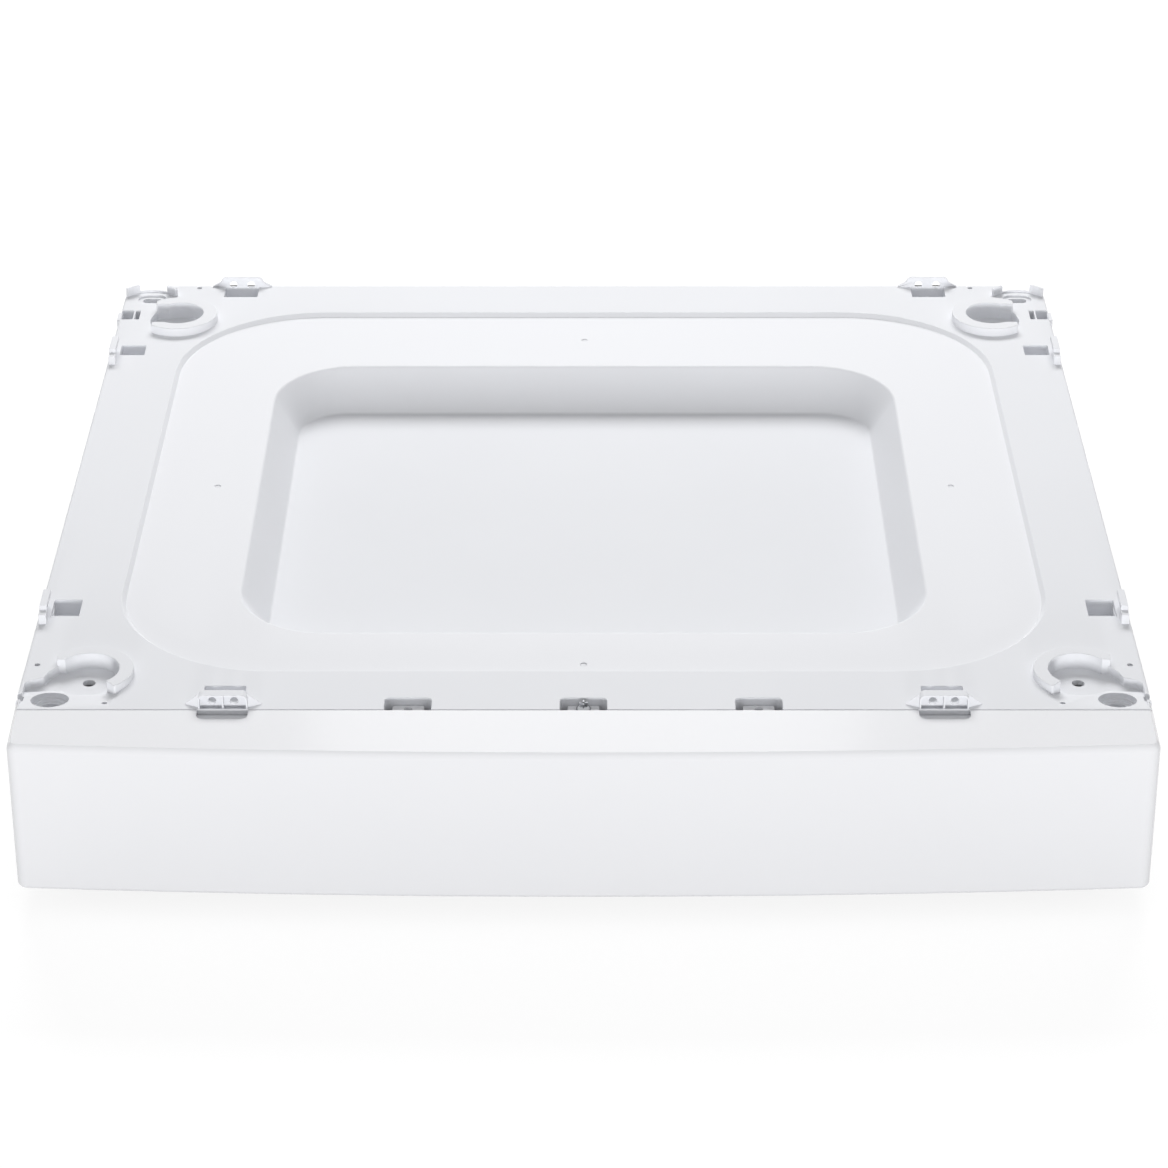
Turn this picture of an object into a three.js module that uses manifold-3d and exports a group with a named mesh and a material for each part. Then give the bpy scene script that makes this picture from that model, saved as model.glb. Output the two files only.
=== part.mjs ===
// Laundry pedestal drawer for a 60 cm appliance: a low white unit whose moulded top tray has foot
// cups, a drip pan and fixing plates, and whose bowed front panel pulls out a shallow drawer.
//
// Millimetres, +Z up, floor at Z = 0, +X to the right and -Y to the front. The pieces are laid out
// in a group whose Y = 0 is the seam between the tray and the closed front panel. That group is
// shifted at the end so that the origin lies under the middle of the unit.

import * as THREE from "three";
import { mergeVertices } from "three/addons/utils/BufferGeometryUtils.js";
import { ConvexGeometry } from "three/addons/geometries/ConvexGeometry.js";
import Module from "manifold-3d";

// ---------------------------------------------------------------- driving dimensions

const GAP = 0.3; // clearance between pieces that touch
const SEAM = 0.35; // visible gap between tray and front panel

const FOOT_HEIGHT = 12; // floor to the underside of the front panel and side panels
const FRONT_HEIGHT = 88;
const TOP_Z = FOOT_HEIGHT + FRONT_HEIGHT; // top face of the tray's border

const TRAY_HALF = { front: 298.4, rear: 296.6 }; // the tray's sides draw in towards the rear
const TRAY_DEPTH = 543.3;
const SKIN = 2.8; // tray wall
const SKIRT = 2.4;
const SKIRT_DROP = 22;
const EDGE_ROUND = 2; // rounding along the tray's outer edges

const FRONT_HALF = 297.6; // at the round front corners; the side returns spread a little to the rear
const FRONT_DRAFT = 0.0226; // that spread, in radians
const FRONT_DEPTH = 45.7; // seam to the middle of the bowed face
const FRONT_CORNER = 6;
const FRONT_EDGE = 2.9; // rounding of the panel's top and bottom edges
const BOW_RADIUS = 5077;
const FRONT_WALL = 3;
const RETURN = { inner: 296.8, rear: 9 }; // the side returns stand beside the tray's front corners

// `half` is the half width at the front and at the rear corners: both outlines draw in a little.
const STEP = { half: [254.8, 253], front: 40.3, rear: 500.5, radius: 88, drop: 2.5, ramp: 2.2 };
const PAN = { half: [190.6, 190.2], front: 87.2, rear: 424.9, radius: 48, drop: 23.4, slope: 18.6 };

const CUP_FRONT = { x: 262.9, y: 36, inner: 16.5, outer: 24.3, rise: 4 };
const CUP_REAR = { x: 258.1, y: 488.4, inner: 15.5, outer: 24.4, rise: 5.3 };
const CUP_DEPTH = 5;
const CUP_HOLE = 3.35; // radius
const PEG_FRONT = { x: 280.7, y: 12.75, outer: 10.1, middle: 8.6, inner: 6.25 }; // a stepped hole
const PEG_REAR = { x: 278.4, y: 521.05, outer: [9.15, 6.45], inner: [6.1, 3.05] }; // a stepped slot
const KERB = { x: 279.2, y: 511.8, inner: 20.2, outer: 22, edge: 23.2, side: 269 }; // round that slot

const PLATE_FRONT_X = 188.6; // fixing plates at the seam
const PLATE_REAR_X = 222;
const TONGUE_PITCH = 92;
const TONGUE = { width: 16.8, top: -4.5, thick: 2.5, reach: 11.9, hole: 8 };
const NOTCH = { width: 24.7, depth: 12.4, radius: 3 };

const WEB_OUTER = 292.2; // side panels, folded steel
const SHEET = 1.4;
const BEAM = { front: [23, 60], rear: [468, 512], low: 71, high: TOP_Z - CUP_DEPTH - SKIN - GAP };
const RAIL = { front: [14, 60], rear: [466, 514], low: FOOT_HEIGHT + GAP + SHEET + GAP, high: 20 };
const REAR_SCREW = { x: 284, z: [30, 68] }; // rear panel to the side panels

const SLIDE = { start: 8, end: 458, z: 45, half: 22.5, thick: 12.6 };
const SLIDE_OUTER_X = WEB_OUTER - SHEET - GAP; // back of the outer member
const BOX_HALF = SLIDE_OUTER_X - SLIDE.thick - GAP;
const BOX = { half: BOX_HALF, front: 2, rear: 500, low: 22.5, high: 68, wall: 2.6 };
const BOX_FACE_TOP = TOP_Z - 9; // the drawer's front wall stands taller, behind the front panel

const FOOT = { x: 268, front: 36, rear: 490 };

// ---------------------------------------------------------------- solids

const wasm = await Module();
wasm.setup();

// A closed three.js geometry as a solid that can be joined and cut.
function solid(geometry) {
  const plain = geometry.clone();
  plain.deleteAttribute("normal");
  plain.deleteAttribute("uv");
  const merged = mergeVertices(plain, 1e-4);
  return new wasm.Manifold(
    new wasm.Mesh({
      numProp: 3,
      vertProperties: merged.attributes.position.array,
      triVerts: new Uint32Array(merged.index.array),
    }),
  );
}

function geometryOf(made) {
  const mesh = made.getMesh();
  const geometry = new THREE.BufferGeometry();
  geometry.setAttribute("position", new THREE.BufferAttribute(mesh.vertProperties, 3));
  geometry.setIndex(new THREE.BufferAttribute(mesh.triVerts, 1));
  geometry.computeVertexNormals();
  return geometry;
}

const join = (...parts) => parts.reduce((sum, part) => sum.add(part));
const cut = (body, ...tools) => tools.reduce((left, tool) => left.subtract(tool), body);

function box([x0, x1], [y0, y1], [z0, z1]) {
  const geometry = new THREE.BoxGeometry(x1 - x0, y1 - y0, z1 - z0);
  return solid(geometry.translate((x0 + x1) / 2, (y0 + y1) / 2, (z0 + z1) / 2));
}

function rod(x, y, [z0, z1], radius, sides = 16) {
  const geometry = new THREE.CylinderGeometry(radius, radius, z1 - z0, sides);
  return solid(geometry.rotateX(Math.PI / 2).translate(x, y, (z0 + z1) / 2));
}

// A rod along Y or X, for screw holes in upright walls.
function rodAlong(axis, [from, to], [x, y, z], radius, sides = 10) {
  const geometry = new THREE.CylinderGeometry(radius, radius, to - from, sides);
  const middle = (from + to) / 2;
  if (axis === "x") geometry.rotateZ(Math.PI / 2).translate(middle, y, z);
  else geometry.translate(x, middle, z);
  return solid(geometry);
}

// A flat outline in X and Y, raised from z0 to z1.
function slab(shape, [z0, z1], segments = 6) {
  const settings = { depth: z1 - z0, bevelEnabled: false, curveSegments: segments };
  return solid(new THREE.ExtrudeGeometry(shape, settings).translate(0, 0, z0));
}

// An outline drawn in X and Z, carried along Y.
function alongY(shape, [y0, y1], segments = 6) {
  const settings = { depth: y1 - y0, bevelEnabled: false, curveSegments: segments };
  const geometry = new THREE.ExtrudeGeometry(shape, settings).rotateX(Math.PI / 2);
  return solid(geometry.translate(0, y1, 0));
}

// An outline drawn in Y and Z, carried along X.
function alongX(shape, [x0, x1]) {
  const geometry = new THREE.ExtrudeGeometry(shape, { depth: x1 - x0, bevelEnabled: false });
  return solid(geometry.rotateX(Math.PI / 2).rotateZ(Math.PI / 2).translate(x0, 0, 0));
}

const polygon = (points) => new THREE.Shape(points.map(([x, y]) => new THREE.Vector2(x, y)));
const hullOf = (points) =>
  solid(new ConvexGeometry(points.map(([x, y, z]) => new THREE.Vector3(x, y, z))));

function roundedRect([x0, x1], [y0, y1], r) {
  const shape = new THREE.Shape();
  shape.absarc(x1 - r, y0 + r, r, -Math.PI / 2, 0);
  shape.absarc(x1 - r, y1 - r, r, 0, Math.PI / 2);
  shape.absarc(x0 + r, y1 - r, r, Math.PI / 2, Math.PI);
  shape.absarc(x0 + r, y0 + r, r, Math.PI, (3 * Math.PI) / 2);
  shape.closePath();
  return shape;
}

// A slot with round ends, long in X: half its length and half its width, raised over `span`.
const obround = ({ x, y }, [long, wide], span) =>
  slab(roundedRect([x - long, x + long], [y - wide, y + wide], wide - 0.01), span, 5);

// A wall that follows part of a circle, with square ends; angles in degrees from +X.
function arcWall(x, y, [inner, outer], [from, to], [z0, z1], segments = 12) {
  const shape = new THREE.Shape();
  const [start, end] = [THREE.MathUtils.degToRad(from), THREE.MathUtils.degToRad(to)];
  shape.absarc(x, y, outer, start, end, false);
  shape.absarc(x, y, inner, end, start, true);
  shape.closePath();
  return slab(shape, [z0, z1], segments);
}

// Joins outlines with the same number of points into one closed body, lowest outline first.
function loft(levels) {
  const count = levels[0].points.length;
  const positions = levels.flatMap(({ points, z }) => points.flatMap(({ x, y }) => [x, y, z]));
  const index = [];
  for (let level = 0; level < levels.length - 1; level++)
    for (let i = 0; i < count; i++) {
      const [a, b] = [level * count + i, level * count + ((i + 1) % count)];
      index.push(a, b, b + count, a, b + count, a + count);
    }
  const last = (levels.length - 1) * count;
  for (let i = 1; i < count - 1; i++) index.push(0, i + 1, i, last, last + i, last + i + 1);
  const geometry = new THREE.BufferGeometry();
  geometry.setAttribute("position", new THREE.Float32BufferAttribute(positions, 3));
  geometry.setIndex(index);
  return solid(geometry);
}

// A rounded rectangle drawn in from the given one by `inset`, as points for a loft.
function insetRect({ half, front, rear, radius }, inset, cornerSteps = 6) {
  const r = Math.max(radius - inset, 2);
  const [frontX, rearX] = half.map((x) => x - inset - r);
  const [frontY, rearY] = [front + inset + r, rear - inset - r];
  const centres = [
    [frontX, frontY, -90],
    [rearX, rearY, 0],
    [-rearX, rearY, 90],
    [-frontX, frontY, 180],
  ];
  return centres.flatMap(([cx, cy, start]) =>
    Array.from({ length: cornerSteps + 1 }, (_, step) => {
      const angle = THREE.MathUtils.degToRad(start + (90 * step) / cornerSteps);
      return new THREE.Vector2(cx + r * Math.cos(angle), cy + r * Math.sin(angle));
    }),
  );
}

// A bowl-shaped body that follows one rounded rectangle down: `profile` lists [inset, z], lowest first.
const bowl = (rect, profile) =>
  loft(profile.map(([inset, z]) => ({ points: insetRect(rect, inset), z })));

const mirrored = (body) => body.scale([-1, 1, 1]);
const bothSides = (body) => body.add(mirrored(body));

// ---------------------------------------------------------------- finishes

const finish = (color, roughness, metalness = 0) =>
  new THREE.MeshStandardMaterial({ color, roughness, metalness });

const FINISHES = {
  tray: finish(0xeceef2, 0.42),
  front: finish(0xf2f3f7, 0.16),
  box: finish(0xe9ebee, 0.45),
  panel: finish(0xe8eaed, 0.35),
  steel: finish(0xb9bdc2, 0.32, 0.9),
  screw: finish(0x9ea2a8, 0.3, 0.95),
  cage: finish(0x8f9499, 0.4, 0.6),
  rubber: finish(0x2b2c2e, 0.85),
};

const unit = new THREE.Group();
unit.position.y = -(TRAY_DEPTH - FRONT_DEPTH) / 2;

function place(name, material, body, parent = unit) {
  const mesh = new THREE.Mesh(geometryOf(body), FINISHES[material]);
  mesh.name = name;
  parent.add(mesh);
  return mesh;
}

// ---------------------------------------------------------------- top tray
// Heights in this section are measured from the tray's top face; the tray group carries them to TOP_Z.

const trayGroup = new THREE.Group();
trayGroup.position.z = TOP_Z;
unit.add(trayGroup);

const UNDER = -CUP_DEPTH - SKIN; // underside of the deepest floors in the tray's border
const STEP_FLOOR = -STEP.drop;
const PAN_FLOOR = STEP_FLOOR - PAN.drop;
const THROUGH = [-30, 10]; // heights that pass right through the border

// The tray's plan: sides that draw in to the rear, and rear corners cut away round the kerbs.
// `inset` draws in the sides and the rear; the front edge is kept at y = `front`.
function trayOutline(front, inset = 0) {
  const { x, y } = KERB;
  const r = KERB.edge - inset;
  const [side, rear] = [TRAY_HALF.rear - inset, TRAY_DEPTH - inset];
  const steps = 6;
  const [start, end] = [Math.acos((side - x) / r), Math.acos((KERB.side - inset - x) / r)];
  const corner = Array.from({ length: steps + 1 }, (_, i) => {
    const angle = start + ((end - start) * i) / steps;
    return [x + r * Math.cos(angle), y + r * Math.sin(angle)];
  });
  const right = [[TRAY_HALF.front - inset, front], ...corner, [KERB.side - inset, rear]];
  return polygon([...right, ...right.map(([px, py]) => [-px, py]).reverse()]);
}

// The border with its round edges and skirt, open to the front. Its front corners are notched for the
// front panel's returns, and its skirt is relieved at the rear for the corners of the chassis.
function trayBorder() {
  const blank = new THREE.ExtrudeGeometry(trayOutline(-5), {
    depth: SKIRT_DROP - 2 * EDGE_ROUND,
    bevelThickness: EDGE_ROUND,
    bevelSize: EDGE_ROUND,
    bevelOffset: -EDGE_ROUND,
    bevelSegments: 2,
  });
  const notch = box([RETURN.inner - GAP, 310], [-9, RETURN.rear + GAP], [-40, 5]);
  const reliefY = [505, TRAY_DEPTH - SKIRT - 0.1];
  const relief = box([262, WEB_OUTER + 0.5], reliefY, [-SKIRT_DROP - 1, UNDER - 0.8]);
  return cut(
    solid(blank.translate(0, 0, EDGE_ROUND - SKIRT_DROP)),
    slab(trayOutline(-9, SKIRT), [-SKIRT_DROP - 1, -SKIN]),
    box([-310, 310], [-9, 0], [-40, 5]),
    bothSides(notch),
    bothSides(relief),
  );
}

// One even wall all over: the border, the lower floor inside the step, and the pan.
function trayShell() {
  return join(
    trayBorder(),
    bowl(STEP, [[-SKIN, STEP_FLOOR - SKIN], [-SKIN, -1]]),
    bowl(PAN, [
      [PAN.slope - 0.5, PAN_FLOOR - SKIN],
      [-3.4, STEP_FLOOR - 3.6],
      [-3.4, STEP_FLOOR - 0.5],
    ]),
  );
}

// Stiffening ribs under the border, clear of the beams and of the side panels' flanges.
function trayRibs() {
  const [thick, low] = [2, -16];
  const ribs = [];
  for (let y = 84; y <= 420; y += 84) ribs.push(box([180, 278], [y, y + thick], [low, -2]));
  ribs.push(box([234, 234 + thick], [BEAM.front[1] + 3, BEAM.rear[0] - 3], [low, -2]));
  for (const x of [60, 120]) {
    ribs.push(box([x, x + thick], [BEAM.front[1] + 3, 100], [low, -2]));
    ribs.push(box([x, x + thick], [412, BEAM.rear[0] - 3], [low, -2]));
  }
  return bothSides(join(...ribs));
}

// What hangs under the border at one front and one rear corner, before the floors are cut.
function cornerUndersides() {
  const low = [UNDER, -1];
  return join(
    rod(CUP_FRONT.x, CUP_FRONT.y, low, CUP_FRONT.outer + 1),
    slab(polygon([[240, 0], [296.3, 0], [296.3, 10], [297, 10], [297, 40], [240, 40]]), low),
    rod(PEG_FRONT.x, PEG_FRONT.y, [UNDER - 2.4, UNDER + 1], PEG_FRONT.middle + 1),
    rod(CUP_REAR.x, CUP_REAR.y, low, CUP_REAR.outer + 1),
    obround(PEG_REAR, PEG_REAR.outer.map((half) => half + 2), low),
  );
}

// The front cup's floor climbs forward, steep and then shallow, and fans out at its inner end.
function frontScoop() {
  const [deep, above] = [-CUP_DEPTH, CUP_FRONT.rise + 2];
  const wall = 295.7; // inner side of the tray's outer lip
  const profile = [[48, deep], [27.5, deep], [22.5, -3.1], [1.8, 0], [1.8, above], [48, above]];
  const climb = alongX(polygon(profile), [225, wall]);
  const fan = hullOf([
    ...[[250.8, 48], [264.5, -2], [301, -2], [301, 48]].map(([x, y]) => [x, y, deep - 0.1]),
    ...[[216.8, 48], [230.5, -2], [301, -2], [301, 48]].map(([x, y]) => [x, y, above + 0.1]),
  ]);
  const area = [
    [230, -2],
    [wall + 1, -2],
    [wall + 1, 26.8],
    [293.2, 30.8],
    [286.4, 33.3],
    [284.7, 38.8],
    [280, 46],
    [263, 50],
    [252, 30],
    [230, 24],
  ];
  const drain = box([wall - 1, 300], [10.5, 17], [-4, 2]); // through the outer lip
  return climb.intersect(fan).intersect(slab(polygon(area), [deep - 1, above + 1])).add(drain);
}

// The rear cup's floor runs out through the open side of its ring and ends in a curved wall.
function rearScoop() {
  const bay = [[274, 474.5], [276.5, 488], [276.4, 490.3], [275.2, 496.7], [273.3, 501.8]];
  return slab(polygon([[262, 475.5], ...bay, [262, 501.8]]), [-CUP_DEPTH, 1]);
}

// Everything that is cut at one front and one rear corner.
function cornerCuts() {
  const smallHole = 1.5;
  const [front, rear] = [CUP_FRONT, CUP_REAR];
  return join(
    rod(front.x, front.y, [-CUP_DEPTH, 2], front.inner, 24),
    rod(front.x, front.y, THROUGH, CUP_HOLE, 12),
    frontScoop(),
    rod(PEG_FRONT.x, PEG_FRONT.y, [-5.8, 2], PEG_FRONT.outer),
    rod(PEG_FRONT.x, PEG_FRONT.y, [-7.3, 2], PEG_FRONT.middle),
    rod(PEG_FRONT.x, PEG_FRONT.y, THROUGH, PEG_FRONT.inner, 12),
    rod(291.5, 47.2, THROUGH, smallHole, 8),
    rod(251.4, 8.2, THROUGH, smallHole, 8),
    rod(rear.x, rear.y, [-CUP_DEPTH, 2], rear.inner, 24),
    rod(rear.x, rear.y, THROUGH, CUP_HOLE, 12),
    rearScoop(),
    obround(PEG_REAR, PEG_REAR.outer, [-1.2, 2]),
    obround(PEG_REAR, PEG_REAR.inner, THROUGH),
    rod(249.7, 538.7, [-SKIN - 1, 2], smallHole, 8),
    box([284.1, 287.1], [490.2, 503.6], [-6, 2]),
    box([288.2, 296], [490.2, 503.6], [-6, 2]),
  );
}

// The upstands of one front and one rear corner: C-shaped cups, and the kerb round the rear hole.
function cornerUpstands() {
  const [front, rear] = [CUP_FRONT, CUP_REAR];
  const ring = [KERB.inner, KERB.outer];
  const [kerbRise, wallRise] = [1.1, 5.5];
  const heights = [-10, 10];
  const frontCup = cut(
    arcWall(front.x, front.y, [front.inner, front.outer], [20, 229], [-CUP_DEPTH, front.rise], 11),
    box([270, 290], [30, 46], heights),
    box([281, 290], [30, 60], heights),
  );
  const rearCup = cut(
    rod(rear.x, rear.y, [-CUP_DEPTH, rear.rise], rear.outer, 24),
    rod(rear.x, rear.y, heights, rear.inner, 24),
    box([273.85, 290], [460, 520], heights),
    box([262, 290], [475, 502], heights), // the ring's open side
  );
  return join(
    frontCup,
    rearCup,
    arcWall(KERB.x, KERB.y, ring, [41, 139], [-SKIN, kerbRise], 8),
    arcWall(KERB.x, KERB.y, ring, [41, 67], [-SKIN, wallRise], 3),
    arcWall(KERB.x, KERB.y, ring, [118, 139], [-SKIN, wallRise], 2),
    box([295.5, 298.2], [490.5, 502], [-6, -0.8]), // latch beside the two rear slots
  );
}

// A clip on the tray's edge: a low block in front, then a hooked wall beside its window.
function sideClip(start, outer) {
  const [inner, height, undercut, lean] = [outer - 4.6, 8.5, 2.2, 0.5];
  const [shoulder, end] = [start + 5.6, start + 24];
  const hook = polygon([
    [inner + undercut, -1.2],
    [outer, -1.2],
    [outer - lean, height],
    [inner, height],
    [inner, height - 2.6],
    [inner + undercut, height - 4.2],
  ]);
  return join(
    box([inner, outer - lean], [start, shoulder + 0.8], [-1.2, height - 2.8]),
    alongY(hook, [shoulder, end]),
  );
}

// The plate at the seam: a boxed rim round a recess that a rib divides, with two screw holes.
function frontPlate() {
  const [half, height, depth, rim, root] = [12.95, 7.9, 6, 1.5, 8];
  const [from, back, corner] = [1, 4.6, 3];
  const outline = new THREE.Shape();
  outline.moveTo(half, -root);
  outline.absarc(half - corner, height - corner, corner, 0, Math.PI / 2);
  outline.absarc(corner - half, height - corner, corner, Math.PI / 2, Math.PI);
  outline.lineTo(-half, -root);
  outline.closePath();
  const gusset = hullOf([
    [half - 1, from + 1, -1],
    [half - 1, from + depth, -1],
    [half - 1, from + depth - 1.6, height - 1.6],
    [20.3, 5.8, 0],
    [20.3, 5.8, -1],
  ]);
  const holes = [-5.75, 5.75].map((x) => rodAlong("y", [0, 9], [x, 0, 2.6], 2.2));
  const recess = box([rim - half, half - rim], [0, back], [-root - 1, height - rim]);
  const rib = box([-0.7, 0.7], [from, back + 0.2], [-root, height - 0.5]);
  const boxed = join(alongY(outline, [from, from + depth], 2), bothSides(gusset));
  return cut(boxed, recess, ...holes).add(rib);
}

// The plate at the rear edge: a gabled lug whose foot reaches down through a notch.
function rearPlate() {
  const flank = [[11, -20], [11, -0.5], [19.25, 0], [19.25, 0.4], [14, 3.2], [12.6, 5.7], [10.8, 6.7]];
  const outline = [...flank, ...flank.map(([x, z]) => [-x, z]).reverse()];
  const holes = [-5.7, 5.7].map((x) => rodAlong("y", [538, 544], [x, 0, 1.8], 2.5));
  return cut(alongY(polygon(outline), [539.9, 542.3]), ...holes);
}

// Where the front panel's screw tongues drop in: a walled notch, open to the front.
const notchWalls = (x) =>
  box([x - NOTCH.width / 2 - 2, x + NOTCH.width / 2 + 2], [0, NOTCH.depth + 2], [UNDER - 0.7, -1]);
const notchCut = (x) => {
  const span = [x - NOTCH.width / 2, x + NOTCH.width / 2];
  return slab(roundedRect(span, [-10, NOTCH.depth], NOTCH.radius), THROUGH, 3);
};

// A shallow round mark with a dimple, left by the mould's pins.
const mouldMark = ([x, y]) =>
  join(rod(x, y, [STEP_FLOOR - 0.5, 0], 4.5, 10), rod(x, y, [STEP_FLOOR - 1.5, 0], 1.8, 6));

// Round-toed, round-lipped inside of the pan, as [inset, height] from the floor up.
const PAN_PROFILE = [
  [PAN.slope + 3.6, PAN_FLOOR],
  [PAN.slope + 0.7, PAN_FLOOR + 0.4],
  [PAN.slope - 1.2, PAN_FLOOR + 1.7],
  [1.9, STEP_FLOOR - 2.6],
  [0, STEP_FLOOR - 0.75],
  [-2.4, STEP_FLOOR],
  [-2.4, STEP_FLOOR + 1],
];

const middleOf = ([from, to]) => (from + to) / 2;
const TRAY_SCREWS = [-150, 150].flatMap((x) => [
  [x, middleOf(BEAM.front)],
  [x, middleOf(BEAM.rear)],
]);
const TRAY_BOSS = 4.5;

function topTray() {
  const tongues = [-TONGUE_PITCH, 0, TONGUE_PITCH];
  const bosses = TRAY_SCREWS.map(([x, y]) => rod(x, y, [UNDER, -2], TRAY_BOSS, 10));
  const screwHoles = TRAY_SCREWS.map(([x, y]) => rod(x, y, [UNDER - 1, STEP_FLOOR - 1], 2.3, 8));
  const windowWalls = join(
    box([274.3, 290.5], [118.5, 121], [-12, -1]),
    box([273.6, 290.5], [450.3, 452.8], [-12, -1]),
    box([282.6, 295], [503.1, 505.6], [UNDER, -1]),
  );
  const undersides = bothSides(join(cornerUndersides(), windowWalls));
  const blank = join(trayShell(), trayRibs(), undersides, ...bosses);
  const walled = join(blank, ...tongues.map(notchWalls));
  const windows = join(
    box([275.8, 291.2], [102.9, 119], THROUGH),
    box([275.8, 291.2], [99, 104], [-1.2, 2]),
    box([275.1, 290.5], [436.6, 450.8], THROUGH),
    box([PLATE_REAR_X - 10.7, PLATE_REAR_X + 10.7], [524.8, 540.5], THROUGH),
    box([PLATE_FRONT_X - 10.5, PLATE_FRONT_X + 11.5], [7.5, 24.4], THROUGH),
    box([PLATE_FRONT_X - 11.4, PLATE_FRONT_X + 11.4], [-1, 5], THROUGH),
  );
  const stepRamp = STEP.ramp * 0.2; // carries the step's slope a little above the border
  const open = cut(
    walled,
    bowl(STEP, [[STEP.ramp, STEP_FLOOR], [-stepRamp, STEP.drop * 0.2]]),
    bowl(PAN, PAN_PROFILE),
    bothSides(join(cornerCuts(), windows)),
    ...tongues.map(notchCut),
    ...[[0, 464], [-214, 261.5], [214, 261.5], [0, 52]].map(mouldMark),
    ...screwHoles,
  );
  const plates = join(
    frontPlate().translate([PLATE_FRONT_X, 0, 0]),
    rearPlate().translate([PLATE_REAR_X, 0, 0]),
  );
  return join(
    open,
    bothSides(join(cornerUpstands(), sideClip(91.7, 296.9), sideClip(422.4, 296), plates)),
  );
}

place("top_tray", "tray", topTray(), trayGroup);

// ---------------------------------------------------------------- front panel
// A hollow moulding with a bowed face, open at the back, with a lip under it for the fingers.

// Plan of the panel, drawn in by `inset`: side returns, round corners and one long bow, back to `rear`.
function frontPlan(inset, rear) {
  const corner = FRONT_CORNER - inset;
  const bow = BOW_RADIUS - inset;
  const centreY = BOW_RADIUS - FRONT_DEPTH;
  const cornerX = FRONT_HALF - FRONT_CORNER;
  const cornerY = centreY - Math.sqrt((bow - corner) ** 2 - cornerX ** 2);
  const turn = Math.asin(cornerX / (bow - corner));
  const sideStart = cornerX + corner * Math.cos(FRONT_DRAFT);
  const spread = (rear - cornerY + corner * Math.sin(FRONT_DRAFT)) * Math.tan(FRONT_DRAFT);
  const shape = new THREE.Shape();
  shape.moveTo(sideStart + spread, rear);
  shape.lineTo(-sideStart - spread, rear);
  shape.absarc(-cornerX, cornerY, corner, Math.PI + FRONT_DRAFT, 1.5 * Math.PI - turn);
  shape.absarc(0, centreY, bow, 1.5 * Math.PI - turn, 1.5 * Math.PI + turn);
  shape.absarc(cornerX, cornerY, corner, 1.5 * Math.PI + turn, 2 * Math.PI - FRONT_DRAFT);
  shape.closePath();
  return shape;
}

function roundedPanel() {
  const r = FRONT_EDGE;
  const geometry = new THREE.ExtrudeGeometry(frontPlan(0, 20), {
    depth: FRONT_HEIGHT - 2 * r,
    bevelThickness: r,
    bevelSize: r,
    bevelOffset: -r,
    bevelSegments: 3,
    curveSegments: 4,
  });
  return solid(geometry.translate(0, 0, FOOT_HEIGHT + r));
}

const PANEL_SCREWS = [-235, -105, 105, 235];
const PANEL_SCREW_Z = 44;
const FACE_BACK = FRONT_WALL - FRONT_DEPTH; // inner side of the bowed wall, at the middle

// A tongue under the tray's notch: it hangs from the flange and takes a screw from above.
function tongue(x) {
  const [low, high] = [TOP_Z + TONGUE.top - TONGUE.thick, TOP_Z + TONGUE.top];
  const span = [x - TONGUE.width / 2, x + TONGUE.width / 2];
  return join(
    slab(roundedRect(span, [-12, TONGUE.reach], 1.5), [low, high], 2),
    box(span, [-SEAM - 2.5, -SEAM], [high - 1, TOP_Z - 1]),
  );
}

function drawerFront() {
  const inner = [FOOT_HEIGHT + FRONT_WALL, TOP_Z - FRONT_WALL];
  const scallop = { half: 13.35, depth: 9.3, floor: TOP_Z - 3, wall: 2 };
  const fingerGap = box([-270, 270], [-30, 30], [0, FOOT_HEIGHT + FRONT_WALL + 1]);
  const hollow = cut(
    roundedPanel(),
    slab(frontPlan(FRONT_WALL, 30), inner, 4),
    fingerGap,
    box([-RETURN.inner, RETURN.inner], [-SEAM, 40], [0, TOP_Z + 1]),
    box([-400, 400], [RETURN.rear, 40], [0, TOP_Z + 1]),
  );
  const face = (x) => FACE_BACK + (x * x) / (2 * BOW_RADIUS);
  const ribs = [0, 92, 184, 276].flatMap((x) => (x ? [-x, x] : [0])).map((x) => {
    return box([x - 1, x + 1], [face(x) - 1, -18], [FOOT_HEIGHT + 2, TOP_Z - 2]);
  });
  const bosses = PANEL_SCREWS.map((x) =>
    rodAlong("y", [face(x) - 1, BOX.front - GAP], [x, 0, PANEL_SCREW_Z], 5),
  );
  const screwHoles = PANEL_SCREWS.map((x) => rodAlong("y", [-20, 5], [x, 0, PANEL_SCREW_Z], 2.3));
  const wells = [-PLATE_FRONT_X, PLATE_FRONT_X].map((x) => {
    const [half, wall] = [scallop.half, scallop.wall];
    const out = [x - half - wall, x + half + wall];
    return box(out, [-SEAM - scallop.depth - wall, -SEAM], [scallop.floor - wall, TOP_Z - 1]);
  });
  const wellCuts = [-PLATE_FRONT_X, PLATE_FRONT_X].map((x) =>
    slab(
      roundedRect([x - scallop.half, x + scallop.half], [-scallop.depth - SEAM, 20], 3.5),
      [scallop.floor, TOP_Z + 1],
      3,
    ),
  );
  const tongues = [-TONGUE_PITCH, 0, TONGUE_PITCH];
  const tongueHoles = tongues.map((x) => rod(x, TONGUE.hole, [TOP_Z - 12, TOP_Z + 1], 2.3, 16));
  return cut(
    join(hollow, ...ribs, ...bosses, ...wells, ...tongues.map(tongue)),
    ...wellCuts,
    ...screwHoles,
    ...tongueHoles,
  );
}

place("drawer_front", "front", drawerFront());

// ---------------------------------------------------------------- drawer box
// One moulded tub. Its front wall stands up behind the front panel and carries three screw lugs.

const SLIDE_SCREW_Y = [48, 418];

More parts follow.
